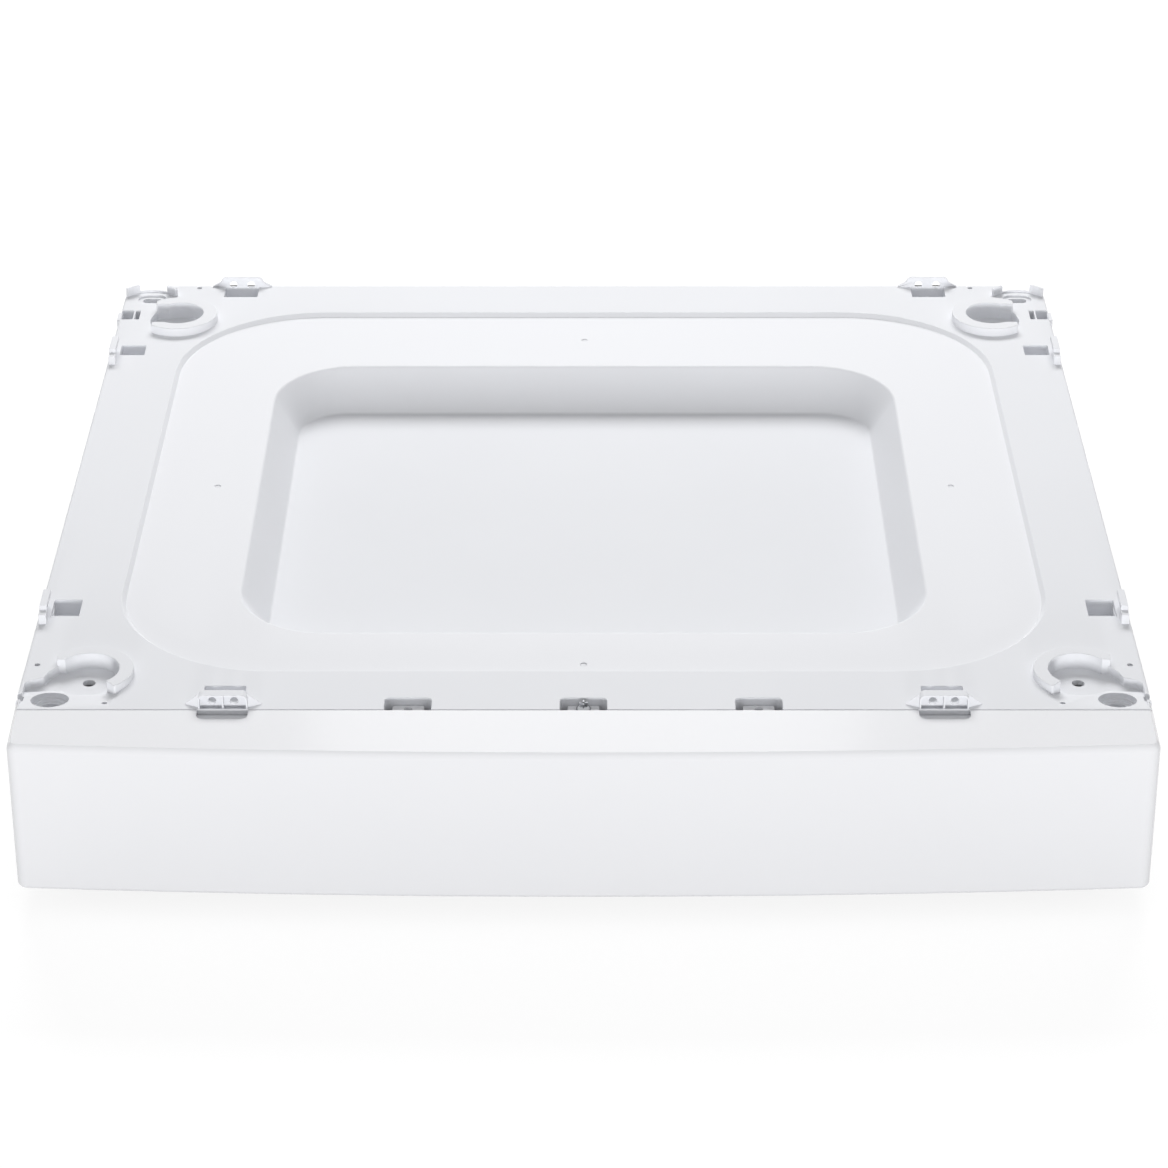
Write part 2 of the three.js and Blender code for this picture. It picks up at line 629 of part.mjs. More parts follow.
function drawerBox() {
  const { half, front, rear, low, high, wall } = BOX;
  const lug = { half: 8.4, top: TOP_Z + TONGUE.top - TONGUE.thick - GAP };
  const tub = cut(
    join(
      slab(roundedRect([-half, half], [front, rear], 3), [low, high], 2),
      box([-270, 270], [front, front + wall], [low, BOX_FACE_TOP]),
    ),
    slab(
      roundedRect([wall - half, half - wall], [front + wall, rear - wall], 4),
      [low + wall, high + 1],
      2,
    ),
  );
  const runners = [-210, -70, 70, 210].map((x) =>
    box([x - 1.5, x + 1.5], [30, 470], [low - 1.5, low + 1]),
  );
  const gusset = [[front + 1, 64], [11.6, BOX_FACE_TOP - 4], [front + 1, BOX_FACE_TOP - 4]];
  const lugs = [-TONGUE_PITCH, 0, TONGUE_PITCH].map((x) =>
    join(
      box([x - lug.half, x + lug.half], [front, 11.6], [BOX_FACE_TOP - 5, lug.top]),
      ...[x - 7.4, x + 7.4].map((middle) => alongX(polygon(gusset), [middle - 1, middle + 1])),
    ),
  );
  const lugHoles = [-TONGUE_PITCH, 0, TONGUE_PITCH].map((x) =>
    rod(x, TONGUE.hole, [BOX_FACE_TOP - 6, TOP_Z], 1.9, 12),
  );
  const frontHoles = PANEL_SCREWS.map((x) => rodAlong("y", [0, 8], [x, 0, PANEL_SCREW_Z], 2.3));
  const sideHoles = SLIDE_SCREW_Y.flatMap((y) =>
    [-1, 1].map((side) => rodAlong("x", [side * half - 5, side * half + 5], [0, y, SLIDE.z], 2.3)),
  );
  return cut(join(tub, ...runners, ...lugs), ...lugHoles, ...frontHoles, ...sideHoles);
}

place("drawer_box", "box", drawerBox());

// ---------------------------------------------------------------- chassis
// Folded and welded sheet steel: two side panels, a rear panel, two beams and two floor rails.

function sidePanel() {
  const [outer, inner] = [WEB_OUTER, WEB_OUTER - SHEET];
  const [low, high] = [FOOT_HEIGHT + GAP, TOP_Z - SKIN - GAP];
  const corner = TOP_Z + UNDER - 1.1; // the tray's corner floors hang lower than its border
  const web = join(
    box([inner, outer], [6.5, 537.8], [low, corner]),
    box([inner, outer], [68, 452], [corner - 1, high]),
  );
  const footing = polygon([
    [outer, 8],
    [outer, 536],
    [246, 536],
    [246, 462],
    [268, 440],
    [268, 90],
    [246, 66],
    [246, 8],
  ]);
  const screwHoles = SLIDE_SCREW_Y.map((y) => rodAlong("x", [280, 300], [0, y, SLIDE.z], 2.1));
  const footHoles = [FOOT.front, FOOT.rear].map((y) => rod(FOOT.x, y, [0, 30], 3.1, 12));
  return cut(
    join(
      web,
      box([278, outer], [126, 412], [high - SHEET, high]),
      slab(footing, [low, low + SHEET]),
      box([274, outer], [536.4, 537.8], [low, corner]),
    ),
    ...screwHoles,
    ...footHoles,
    ...REAR_SCREW.z.map((z) => rodAlong("y", [530, 545], [REAR_SCREW.x, 0, z], 2.1)),
  );
}

function rearPanel() {
  const [y, half, low, high] = [537.8 + GAP, 292, FOOT_HEIGHT + GAP, TOP_Z + UNDER - 1.1];
  const holes = [-REAR_SCREW.x, REAR_SCREW.x].flatMap((x) =>
    REAR_SCREW.z.map((z) => rodAlong("y", [530, 545], [x, 0, z], 2.1)),
  );
  const web = box([-half, half], [y, y + SHEET - 0.3], [low, high]);
  const foot = box([-half + 50, half - 50], [y - 16, y + 1], [low, low + SHEET]);
  const pressed = { x: [-236, 236], z: [28, 66], depth: 3 };
  const boss = (inset, from, to) =>
    box(
      [pressed.x[0] + inset, pressed.x[1] - inset],
      [from, to],
      [pressed.z[0] + inset, pressed.z[1] - inset],
    );
  const raised = join(web, foot, boss(0, y - pressed.depth, y + 0.1));
  return cut(raised, boss(SHEET, y - pressed.depth + SHEET, y + 5), ...holes);
}

// An upper beam: an inverted channel that carries the foot cups across the unit.
function upperBeam([front, rear]) {
  const half = WEB_OUTER - SHEET - GAP;
  const outer = box([-half, half], [front, rear], [BEAM.low, BEAM.high]);
  const innerZ = [BEAM.low - 1, BEAM.high - SHEET];
  const inner = box([-half - 1, half + 1], [front + SHEET, rear - SHEET], innerZ);
  const screwHoles = [-150, 150].map((x) => rod(x, middleOf([front, rear]), [0, 100], 2.3, 12));
  const cup = front < 100 ? CUP_FRONT : CUP_REAR;
  const cupHoles = [-cup.x, cup.x].map((x) => rod(x, cup.y, [0, 100], CUP_HOLE + 2, 16));
  return cut(outer, inner, ...screwHoles, ...cupHoles);
}

// A floor rail: a shallow channel on the side panels' footings, over the feet.
function floorRail([front, rear], footY) {
  const half = WEB_OUTER - SHEET - GAP;
  const outer = box([-half, half], [front, rear], [RAIL.low, RAIL.high]);
  const innerZ = [RAIL.low + SHEET, RAIL.high + 1];
  const inner = box([-half - 1, half + 1], [front + SHEET, rear - SHEET], innerZ);
  return cut(outer, inner, ...[-FOOT.x, FOOT.x].map((x) => rod(x, footY, [0, 30], 3.1, 12)));
}

place("side_panel_right", "panel", sidePanel());
place("side_panel_left", "panel", mirrored(sidePanel()));
place("rear_panel", "panel", rearPanel());
place("front_beam", "panel", upperBeam(BEAM.front));
place("rear_beam", "panel", upperBeam(BEAM.rear));
place("front_floor_rail", "panel", floorRail(RAIL.front, FOOT.front));
place("rear_floor_rail", "panel", floorRail(RAIL.rear, FOOT.rear));

// ---------------------------------------------------------------- feet and screws

// A turned body about Z from [radius, height] points, starting and ending on the axis or closed.
const turned = (profile, sides = 16) =>
  new THREE.LatheGeometry(profile.map(([r, z]) => new THREE.Vector2(r, z)), sides);

function foot() {
  const profile = [[3, 5], [9, 5], [9, 0], [18, 0], [20, 2], [17.5, 12], [3, 12], [3, 5]];
  return solid(turned(profile, 14).rotateX(Math.PI / 2));
}

// A pan-head screw whose shank points along -Z from the underside of its head.
function screw({ head, shank, length }) {
  const profile = [
    [0, -length],
    [shank, -length + 1.2],
    [shank, 0],
    [head, 0],
    [head, head * 0.35],
    [head * 0.6, head * 0.6],
    [0, head * 0.6],
  ];
  return turned(profile, 7).rotateX(Math.PI / 2);
}

// Places a screw with the underside of its head at `at`, its head facing along `facing`.
function placeScrew(name, size, at, facing) {
  const mesh = new THREE.Mesh(geometryOf(solid(screw(size))), FINISHES.screw);
  mesh.name = name;
  mesh.position.set(...at);
  mesh.quaternion.setFromUnitVectors(new THREE.Vector3(0, 0, 1), new THREE.Vector3(...facing));
  unit.add(mesh);
}

const PAN_SCREW = { head: 4, shank: 1.6, length: 8 };
const SHEET_SCREW = { head: 3.6, shank: 1.7, length: 4.4 };
const OUTER_SCREW = { head: 2.9, shank: 1.7, length: 4.2 };
const FOOT_SCREW = { head: 5.6, shank: 2.6, length: 12 };
const FIXING_SCREW = { head: 4, shank: 1.5, length: 7.6 };

const SIDES = [["left", -1], ["right", 1]];

for (const [sideName, side] of SIDES)
  for (const [endName, y] of [["front", FOOT.front], ["rear", FOOT.rear]]) {
    place(`foot_${endName}_${sideName}`, "rubber", foot().translate([side * FOOT.x, y, 0]));
    const head = [side * FOOT.x, y, 5 - GAP];
    placeScrew(`foot_screw_${endName}_${sideName}`, FOOT_SCREW, head, [0, 0, -1]);
  }

TRAY_SCREWS.forEach(([x, y], i) => {
  const head = BEAM.high - SHEET - GAP;
  placeScrew(`tray_screw_${i + 1}`, { ...PAN_SCREW, length: 6 }, [x, y, head], [0, 0, -1]);
});

for (const [sideName, side] of SIDES)
  REAR_SCREW.z.forEach((z, i) => {
    const head = 537.8 + SHEET + GAP / 2;
    placeScrew(
      `rear_panel_screw_${sideName}_${i + 1}`,
      { head: 3, shank: 1.7, length: 5 },
      [side * REAR_SCREW.x, head, z],
      [0, 1, 0],
    );
  });

PANEL_SCREWS.forEach((x, i) =>
  placeScrew(
    `front_panel_screw_${i + 1}`,
    { ...PAN_SCREW, length: 14 },
    [x, BOX.front + BOX.wall + GAP / 2, PANEL_SCREW_Z],
    [0, 1, 0],
  ),
);

const fixingHead = TOP_Z + TONGUE.top + GAP / 2;
placeScrew("front_fixing_screw", FIXING_SCREW, [0, TONGUE.hole, fixingHead], [0, 0, 1]);

// ---------------------------------------------------------------- telescopic slides
// Sections are drawn with u from the side panel towards the drawer and w up from the slide's middle.

// A channel section: a web at u = [from, from + sheet] and two flanges, with lips where `lip` is given.
function channel({ web, sheet, reach, half, lip = 0, start, end }) {
  const inward = Math.sign(reach - web);
  const ordered = (u0, u1) => [Math.min(u0, u1), Math.max(u0, u1)];
  const flanges = [1, -1].map((up) => {
    const flangeZ = ordered(up * (half - sheet), up * half);
    const lipZ = ordered(up * (half - sheet - lip), up * (half - 0.1));
    const flange = box(ordered(web, reach), [start, end], flangeZ);
    return lip ? flange.add(box([reach - sheet * 0.8, reach], [start, end], lipZ)) : flange;
  });
  return join(box(ordered(web, web + inward * sheet), [start, end], [-half, half]), ...flanges);
}

const BALL = 1.6;
const BALL_ROWS = { outer: { u: 5.4, w: 19.5 }, inner: { u: 7.6, w: 14.7 } };
const CAGE_SPAN = [173, 293];

const { start, end, half } = SLIDE;
const MIDDLE_END = end - 9; // the rubber block fills the rest
const slideHoles = (span) => SLIDE_SCREW_Y.map((y) => rodAlong("x", span, [0, y, 0], 2.1));
const outerMember = () =>
  cut(channel({ web: 0, sheet: 1.2, reach: 8.6, half, lip: 1.6, start, end }), ...slideHoles([-1, 4]));
const middleMember = () =>
  channel({ web: 3.4, sheet: 1.1, reach: 10.6, half: 17.7, lip: 1.6, start, end: MIDDLE_END });
const innerMember = () =>
  cut(
    channel({ web: SLIDE.thick, sheet: 1.2, reach: 6.2, half: 12.9, start, end: MIDDLE_END }),
    ...slideHoles([10, 14]),
  );

// A ball cage: two strips joined by a thin web, each holding a row of balls.
function ballCage({ u, w }, webU, count) {
  const [from, to] = CAGE_SPAN;
  const strips = [1, -1].map((up) => {
    return box([webU, u + 1.7], [from, to], [up * w - 0.45, up * w + 0.45]);
  });
  const pitch = (to - from - 16) / (count - 1);
  const balls = Array.from({ length: count }, (_, i) => from + 8 + i * pitch).flatMap((y) =>
    [w, -w].map((z) => solid(new THREE.SphereGeometry(BALL, 6, 4).translate(u, y, z))),
  );
  return join(box([webU, webU + 0.7], [from, to], [-w, w]), ...strips, ...balls);
}

// The rubber block at the back of the outer member that the middle member closes against.
const slideBuffer = () => box([1.5, 8], [MIDDLE_END + 0.4, end - 1], [-9, 9]);

for (const [sideName, side] of SIDES) {
  // u runs along +X on the left side and along -X on the right.
  const seat = (body) => {
    const onLeft = body.translate([-SLIDE_OUTER_X, 0, SLIDE.z]);
    return side < 0 ? onLeft : mirrored(onLeft);
  };
  place(`slide_outer_${sideName}`, "steel", seat(outerMember()));
  place(`slide_middle_${sideName}`, "steel", seat(middleMember()));
  place(`slide_inner_${sideName}`, "steel", seat(innerMember()));
  place(`ball_cage_outer_${sideName}`, "cage", seat(ballCage(BALL_ROWS.outer, 2, 3)));
  place(`ball_cage_inner_${sideName}`, "cage", seat(ballCage(BALL_ROWS.inner, 4.9, 3)));
  place(`slide_buffer_${sideName}`, "rubber", seat(slideBuffer()));
  SLIDE_SCREW_Y.forEach((y, i) => {
    const [outerHead, innerHead] = [SLIDE_OUTER_X - 1.2 - GAP / 2, BOX.half - BOX.wall - GAP / 2];
    const inward = [-side, 0, 0];
    const outerAt = [side * outerHead, y, SLIDE.z];
    const innerAt = [side * innerHead, y, SLIDE.z];
    placeScrew(`slide_screw_outer_${sideName}_${i + 1}`, OUTER_SCREW, outerAt, inward);
    placeScrew(`slide_screw_inner_${sideName}_${i + 1}`, SHEET_SCREW, innerAt, inward);
  });
}

export default unit;
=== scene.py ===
# Looks of a low laundry pedestal with a shallow drawer: a moulded top tray with foot cups and a
# drip pan, a bowed glossy front panel, and a powder-coated chassis with telescopic slides.
# Blender works in metres. The mould drawings are in millimetres, with Y = 0 at the seam between
# tray and front panel, and are brought into the frame once each moulding is whole.

import math

import bmesh
import bpy
from mathutils import Matrix, Vector


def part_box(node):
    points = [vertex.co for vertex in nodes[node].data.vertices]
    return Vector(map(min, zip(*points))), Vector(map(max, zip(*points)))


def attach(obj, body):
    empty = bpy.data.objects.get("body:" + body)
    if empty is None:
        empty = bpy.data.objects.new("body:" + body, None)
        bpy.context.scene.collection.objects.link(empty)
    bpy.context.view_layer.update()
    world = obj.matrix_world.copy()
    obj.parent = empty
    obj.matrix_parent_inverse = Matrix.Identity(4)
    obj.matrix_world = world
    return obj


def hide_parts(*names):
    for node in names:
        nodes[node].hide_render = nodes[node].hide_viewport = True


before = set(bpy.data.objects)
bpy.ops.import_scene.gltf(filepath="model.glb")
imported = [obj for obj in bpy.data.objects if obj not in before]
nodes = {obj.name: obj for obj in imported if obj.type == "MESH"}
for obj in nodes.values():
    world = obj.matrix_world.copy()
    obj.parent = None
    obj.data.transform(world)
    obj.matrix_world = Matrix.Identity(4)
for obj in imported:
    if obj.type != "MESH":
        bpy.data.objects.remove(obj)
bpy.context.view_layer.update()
scene = bpy.context.scene

# ------------------------------------------------------------------------------ camera and studio
# A long lens looks down at 28.55 degrees on a floor that is white to the camera and keeps a soft
# shadow. A wide lamp high behind lights the top, a small one puts the shine on the flange, and a
# low sun in front is as bright on the open drawer as on the closed one.

camera = bpy.data.objects.new("camera", bpy.data.cameras.new("camera"))
camera.data.lens = 115.95
camera.data.sensor_width = 36
camera.matrix_world = (
    Matrix.Translation((0.0034606, -1.9442, 1.0971))
    @ Matrix.Rotation(0.0018388, 4, "Z")
    @ Matrix.Rotation(math.radians(61.45), 4, "X")
    @ Matrix.Rotation(-0.000849, 4, "Z")
)
scene.collection.objects.link(camera)
scene.camera = camera
scene.view_settings.view_transform = "Standard"


def soft_lamp(name, place, towards, size, watts, mirrored_in=True):
    lamp = bpy.data.lights.new(name, "AREA")
    lamp.shape = "RECTANGLE"
    lamp.size, lamp.size_y = size
    lamp.energy = watts
    holder = bpy.data.objects.new(name, lamp)
    holder.location = place
    aim = Vector(towards) - Vector(place)
    holder.rotation_euler = aim.to_track_quat("-Z", "Y").to_euler()
    holder.visible_camera = False
    holder.visible_glossy = mirrored_in
    scene.collection.objects.link(holder)


soft_lamp("rear_sky", (0.0, 3.65, 2.75), (0.0, 0.0, 0.1), (3.5, 1.4), 194.0, False)
soft_lamp("behind", (0.0, 1.6, 1.12), (0.0, -0.2, 0.1), (0.6, 0.5), 1.15)
low_front = bpy.data.lights.new("low_front", "SUN")
low_front.energy = 2.05
low_front.angle = math.radians(9)
sun = bpy.data.objects.new("low_front", low_front)
sun.rotation_euler = (math.radians(87.6), 0.0, 0.0)
sun.visible_glossy = False
scene.collection.objects.link(sun)


def white(tree, kind, strength):
    node = tree.nodes.new(kind)
    node.inputs["Color"].default_value = (1.0, 1.0, 1.0, 1.0)
    node.inputs["Strength"].default_value = strength
    return node


def by_ray(tree, lit, seen):
    """Gives `seen` to camera, glossy and transmission rays and `lit` to every other ray."""
    path = tree.nodes.new("ShaderNodeLightPath")
    looks = path.outputs["Is Camera Ray"]
    for ray in ("Is Glossy Ray", "Is Transmission Ray"):
        either = tree.nodes.new("ShaderNodeMath")
        either.operation = "MAXIMUM"
        tree.links.new(looks, either.inputs[0])
        tree.links.new(path.outputs[ray], either.inputs[1])
        looks = either.outputs[0]
    mix = tree.nodes.new("ShaderNodeMixShader")
    tree.links.new(looks, mix.inputs[0])
    tree.links.new(lit.outputs[0], mix.inputs[1])
    tree.links.new(seen.outputs[0], mix.inputs[2])
    return mix.outputs[0]


world = bpy.data.worlds.new("studio")
scene.world = world
world.use_nodes = True
room = world.node_tree
daylight = room.nodes["Background"]
daylight.inputs["Color"].default_value = (1.0, 1.0, 1.0, 1.0)
daylight.inputs["Strength"].default_value = 0.39
sky = by_ray(room, daylight, white(room, "ShaderNodeBackground", 1.0))
room.links.new(sky, room.nodes["World Output"].inputs["Surface"])

floor_mesh = bpy.data.meshes.new("floor")
FLOOR_HALF = 6.0
floor_corners = [
    (x * FLOOR_HALF, y * FLOOR_HALF, 0.0)
    for x, y in [(-1, -1), (1, -1), (1, 1), (-1, 1)]
]
floor_mesh.from_pydata(floor_corners, [], [(0, 1, 2, 3)])
floor = bpy.data.objects.new("floor", floor_mesh)
scene.collection.objects.link(floor)
floor_paper = bpy.data.materials.new("white_table")
floor_paper.use_nodes = True
paper = floor_paper.node_tree
paper_lit = paper.nodes["Principled BSDF"]
paper_lit.inputs["Base Color"].default_value = (0.5, 0.5, 0.5, 1.0)
paper_lit.inputs["Roughness"].default_value = 0.9
paper_shade = paper.nodes.new("ShaderNodeBsdfDiffuse")
paper_shade.inputs["Color"].default_value = (0.2, 0.2, 0.2, 1.0)
paper_seen = paper.nodes.new("ShaderNodeAddShader")
glow = white(paper, "ShaderNodeEmission", 0.88)
paper.links.new(glow.outputs[0], paper_seen.inputs[0])
paper.links.new(paper_shade.outputs[0], paper_seen.inputs[1])
paper_surface = paper.nodes["Material Output"].inputs["Surface"]
paper.links.new(by_ray(paper, paper_lit, paper_seen), paper_surface)
floor_mesh.materials.append(floor_paper)

# ------------------------------------------------------------------------------ moulded top tray
# One injection moulding in white satin plastic, with even walls, ribs underneath, foot cups, screw
# plates, clips and kerbs. It is cut from the steel of a mould here too: every pocket has a round
# rim and toe, every upstand a round edge.

TOP = 100.0  # height of the border's top face over the floor, mm
SKIN = 2.8
SKIRT, SKIRT_DROP = 2.4, 22.0
CUP_FLOOR, CUP_HOLE = -5.0, 3.35
THROUGH = -30  # a level below the whole moulding
UNDER = CUP_FLOOR - SKIN
TRAY_FRONT_HALF, TRAY_REAR_HALF, TRAY_DEPTH = 298.4, 296.6, 543.3
EDGE_ROUND = 2.0
SEAM_TO_MIDDLE = (TRAY_DEPTH - 45.7) / 2  # from the seam to the middle of the unit
STEP = dict(half=(254.8, 253.0), front=40.3, rear=500.5, radius=88.0, steep=1.0)
PAN = dict(half=(189.5, 189.2), front=87.2, rear=424.9, radius=48.0, steep=0.74)
STEP_FLOOR, PAN_FLOOR = -2.5, -25.9
CUP_FRONT = dict(x=262.9, y=36.0, inner=16.5, outer=24.3, rise=4.0)
CUP_REAR = dict(x=258.1, y=488.4, inner=15.5, outer=24.4, rise=5.3)
KERB = dict(x=279.2, y=511.8, inner=20.2, outer=22.0, edge=23.2, side=269.0)
NOTCH = dict(width=24.7, depth=12.4, radius=3.0, pitch=92.0)
CORNER_WELL = (280.7, 12.75)
BEAM_FRONT, BEAM_REAR = (23.0, 60.0), (468.0, 512.0)
PLATE_FRONT, PLATE_REAR = 188.6, 222.0


def arc(x, y, radius, start, end, steps):
    """Points along an arc, angles in degrees from +X."""
    angles = [math.radians(start + (end - start) * i / steps) for i in range(steps + 1)]
    return [(x + radius * math.cos(a), y + radius * math.sin(a)) for a in angles]


def circle(x, y, radius, steps=48):
    return arc(x, y, radius, 0, 360 - 360 / steps, steps - 1)


def rounded(points, radius, closed=True, degrees=15):
    """Rounds the corners of an outline; `radius` is one number or one for each point."""
    radii = radius if isinstance(radius, (list, tuple)) else [radius] * len(points)
    count, made = len(points), []
    for i, (corner, r) in enumerate(zip(points, radii)):
        here = Vector(corner)
        if not closed and i in (0, count - 1):
            made.append(tuple(here))
            continue
        before = (here - Vector(points[i - 1])).normalized()
        after = (Vector(points[(i + 1) % count]) - here).normalized()
        turn = math.atan2(before.x * after.y - before.y * after.x, before.dot(after))
        if r <= 0 or abs(turn) < 1e-4:
            made.append(tuple(here))
            continue
        reach = r * math.tan(abs(turn) / 2)
        side = Vector((-before.y, before.x)) * (r if turn > 0 else -r)
        centre = here - before * reach + side
        steps = max(2, round(math.degrees(abs(turn)) / degrees))
        spoke = -side
        for k in range(steps + 1):
            made.append(tuple(centre + Matrix.Rotation(turn * k / steps, 2) @ spoke))
    return made


def rectangle(xs, ys, r=0.0):
    points = [(xs[0], ys[0]), (xs[1], ys[0]), (xs[1], ys[1]), (xs[0], ys[1])]
    return rounded(points, r) if r else points


def drawn_in(points, inset):
    """An outline, counter-clockwise, moved inwards by `inset`."""
    if not inset:
        return points
    made = []
    for i, point in enumerate(points):
        here = Vector(point)
        a = (here - Vector(points[i - 1])).normalized()
        b = (Vector(points[(i + 1) % len(points)]) - here).normalized()
        left_a, left_b = Vector((-a.y, a.x)), Vector((-b.y, b.x))
        made.append(tuple(here + (left_a + left_b) * (inset / (1 + left_a.dot(left_b)))))
    return made


def body_of_rings(rings, axis="z"):
    """Joins outlines with as many points each into one closed body; a ring is (points, level)."""
    order = {
        "z": lambda a, b, h: (a, b, h),
        "y": lambda a, b, h: (a, h, b),
        "x": lambda a, b, h: (h, a, b),
    }
    count = len(rings[0][0])
    vertices = [order[axis](a, b, level) for points, level in rings for a, b in points]
    faces = [tuple(reversed(range(count)))]
    for ring in range(len(rings) - 1):
        for i in range(count):
            a, b = ring * count + i, ring * count + (i + 1) % count
            faces.append((a, b, b + count, a + count))
    faces.append(tuple(range((len(rings) - 1) * count, len(rings) * count)))
    if axis == "y":
        faces = [tuple(reversed(face)) for face in faces]
    mesh = bpy.data.meshes.new("solid")
    mesh.from_pydata(vertices, [], faces)
    made = bpy.data.objects.new("solid", mesh)
    scene.collection.objects.link(made)
    return made


def prism(outline, levels, axis="z", ends=(0.0, 0.0)):
    """A body with one outline, its first and last edges rounded by `ends`."""
    rings, (low, high) = [], levels
    for k in range(4 if ends[0] else 1):
        turn = math.radians(30 * k)
        rings.append((ends[0] * (1 - math.sin(turn)), low + ends[0] * (1 - math.cos(turn))))
    for k in range(4 if ends[1] else 1):
        turn = math.radians(30 * k)
        rings.append((ends[1] * (1 - math.cos(turn)), high - ends[1] * (1 - math.sin(turn))))
    return body_of_rings([(drawn_in(outline, inset), level) for inset, level in rings], axis)


def block(xs, ys, zs):
    return prism(rectangle(xs, ys), zs)


def pocket(outline, floor, rim=0.5, toe=0.6, top=0.0, steps=4):
    """What is cut out of the plastic for a pocket with a round toe and a rim that flares open."""
    profile = []
    if toe:
        for k in range(steps + 1):
            a = math.radians(90 * k / steps)
            profile.append((toe * (1 - math.sin(a)), floor + toe * (1 - math.cos(a))))
    else:
        profile.append((0.0, floor))
    for k in range(steps + 1):
        a = math.radians(90 * k / steps)
        level = top - rim * (1 - math.sin(a)) + 0.004 * k / steps
        profile.append((-rim * (1 - math.cos(a)), level))
    profile.append((-rim - 0.01, top + 2.5))
    return body_of_rings([(drawn_in(outline, inset), level) for inset, level in profile])


def mirrored(solids):
    """The solids and their mirror images on the left side."""
    for right in list(solids):
        mesh = right.data.copy()
        mesh.transform(Matrix.Scale(-1, 4, (1, 0, 0)))
        mesh.flip_normals()
        left = bpy.data.objects.new("solid", mesh)
        scene.collection.objects.link(left)
        solids.append(left)
    return solids


def worked(body, tools, operation):
    """Joins the tools to the body, or cuts them from it, and leaves a plain mesh."""
    for tool in tools:
        step = body.modifiers.new("step", "BOOLEAN")
        step.operation, step.solver, step.object = operation, "MANIFOLD", tool
    bpy.context.view_layer.update()
    view = bpy.context.evaluated_depsgraph_get()
    mesh = bpy.data.meshes.new_from_object(body.evaluated_get(view))
    body.modifiers.clear()
    body.data = mesh
    for tool in tools:
        bpy.data.objects.remove(tool)
    return body


def join(body, *tools):
    return worked(body, tools, "UNION")


def cut(body, *tools):
    return worked(body, tools, "DIFFERENCE")


def inset_rect(rect, inset, steps=18):
    """A rounded rectangle, narrower at the rear, drawn in by `inset`, and by less at the sides."""
    r = max(rect["radius"] - inset, 2.0)
    front_x, rear_x = (half - inset * rect["steep"] - r for half in rect["half"])
    front_y, rear_y = rect["front"] + inset + r, rect["rear"] - inset - r
    return [
        *arc(front_x, front_y, r, -90, 0, steps),
        *arc(rear_x, rear_y, r, 0, 90, steps),
        *arc(-rear_x, rear_y, r, 90, 180, steps),
        *arc(-front_x, front_y, r, 180, 270, steps),
    ]


def bowl(rect, profile):
    return body_of_rings([(inset_rect(rect, inset), level) for inset, level in profile])


def tray_outline(front, inset=0.0, steps=16):
    """Sides that draw in to the rear, and rear corners cut away round the kerbs."""
    x, y, r = KERB["x"], KERB["y"], KERB["edge"] - inset
    start = math.degrees(math.acos((TRAY_REAR_HALF - inset - x) / r))
    end = math.degrees(math.acos((KERB["side"] - inset - x) / r))
    right = [
        (TRAY_FRONT_HALF - inset, front),
        *arc(x, y, r, start, end, steps),
        (KERB["side"] - inset, TRAY_DEPTH - inset),
    ]
    return right + [(-px, py) for px, py in reversed(right)]


edge_turns = [math.radians(15 * k) for k in range(7)]
tray = body_of_rings(
    [(tray_outline(-6, 0.4), -SKIRT_DROP), (tray_outline(-6), 0.4 - SKIRT_DROP)]
    + [
        (tray_outline(-6, EDGE_ROUND * (1 - math.cos(a))), EDGE_ROUND * (math.sin(a) - 1))
        for a in edge_turns
    ]
)
seam_round = [(0.4 + u, v - 0.2) for u, v in arc(0, 0, 0.2, 180, 90, 4)]
seam_cut = prism([(-12, -40), (0.2, -40), *seam_round, (0.4, 5), (-12, 5)], (-320, 320), axis="x")
corner_notch = block((296.5, 310), (-9, 9.3), (-40, 5))
relief_depth = (-SKIRT_DROP - 1, UNDER - 0.8)
chassis_relief = block((262, 292.7), (505, TRAY_DEPTH - SKIRT - 0.1), relief_depth)
cut(
    tray,
    prism(tray_outline(-12, SKIRT), (-SKIRT_DROP - 1, -SKIN)),
    seam_cut,
    *mirrored([corner_notch, chassis_relief]),
)

undersides = [
    bowl(STEP, [(-SKIN, STEP_FLOOR - SKIN), (-SKIN, -1)]),
    bowl(PAN, [(18.1, PAN_FLOOR - SKIN), (-3.4, STEP_FLOOR - 3.6), (-3.4, STEP_FLOOR - 0.5)]),
]
ribs = [block((180, 278), (y, y + 2), (-16, -2)) for y in range(84, 421, 84)]
ribs.append(block((234, 236), (BEAM_FRONT[1] + 3, BEAM_REAR[0] - 3), (-16, -2)))
for x in (60, 120):
    ribs.append(block((x, x + 2), (BEAM_FRONT[1] + 3, 100), (-16, -2)))
    ribs.append(block((x, x + 2), (412, BEAM_REAR[0] - 3), (-16, -2)))
corner_floor = [(240, 0), (296.3, 0), (296.3, 10), (297, 10), (297, 40), (240, 40)]
window_walls = [
    block((273.6, 293.2), (101, 121), (-11.5, -1)),
    block((272.9, 292.6), (434.6, 452.8), (-11.5, -1)),
    block((282.6, 295), (488.8, 505.6), (UNDER, -1)),
    block((PLATE_REAR - 12.6, PLATE_REAR + 12.6), (522.8, 541.5), (-8.6, -1)),
    block((PLATE_FRONT - 13, PLATE_FRONT + 13), (0.2, 26), (UNDER, -1)),
]
hanging = [
    prism(circle(CUP_FRONT["x"], CUP_FRONT["y"], CUP_FRONT["outer"] + 1), (UNDER, -1)),
    prism(corner_floor, (UNDER, -1)),
    prism(circle(*CORNER_WELL, 9.6), (UNDER - 2.4, UNDER + 1)),
    prism(circle(CUP_REAR["x"], CUP_REAR["y"], CUP_REAR["outer"] + 1), (UNDER, -1)),
    prism(rectangle((267.25, 289.55), (512.6, 529.5), 8.4), (UNDER, -1)),
]
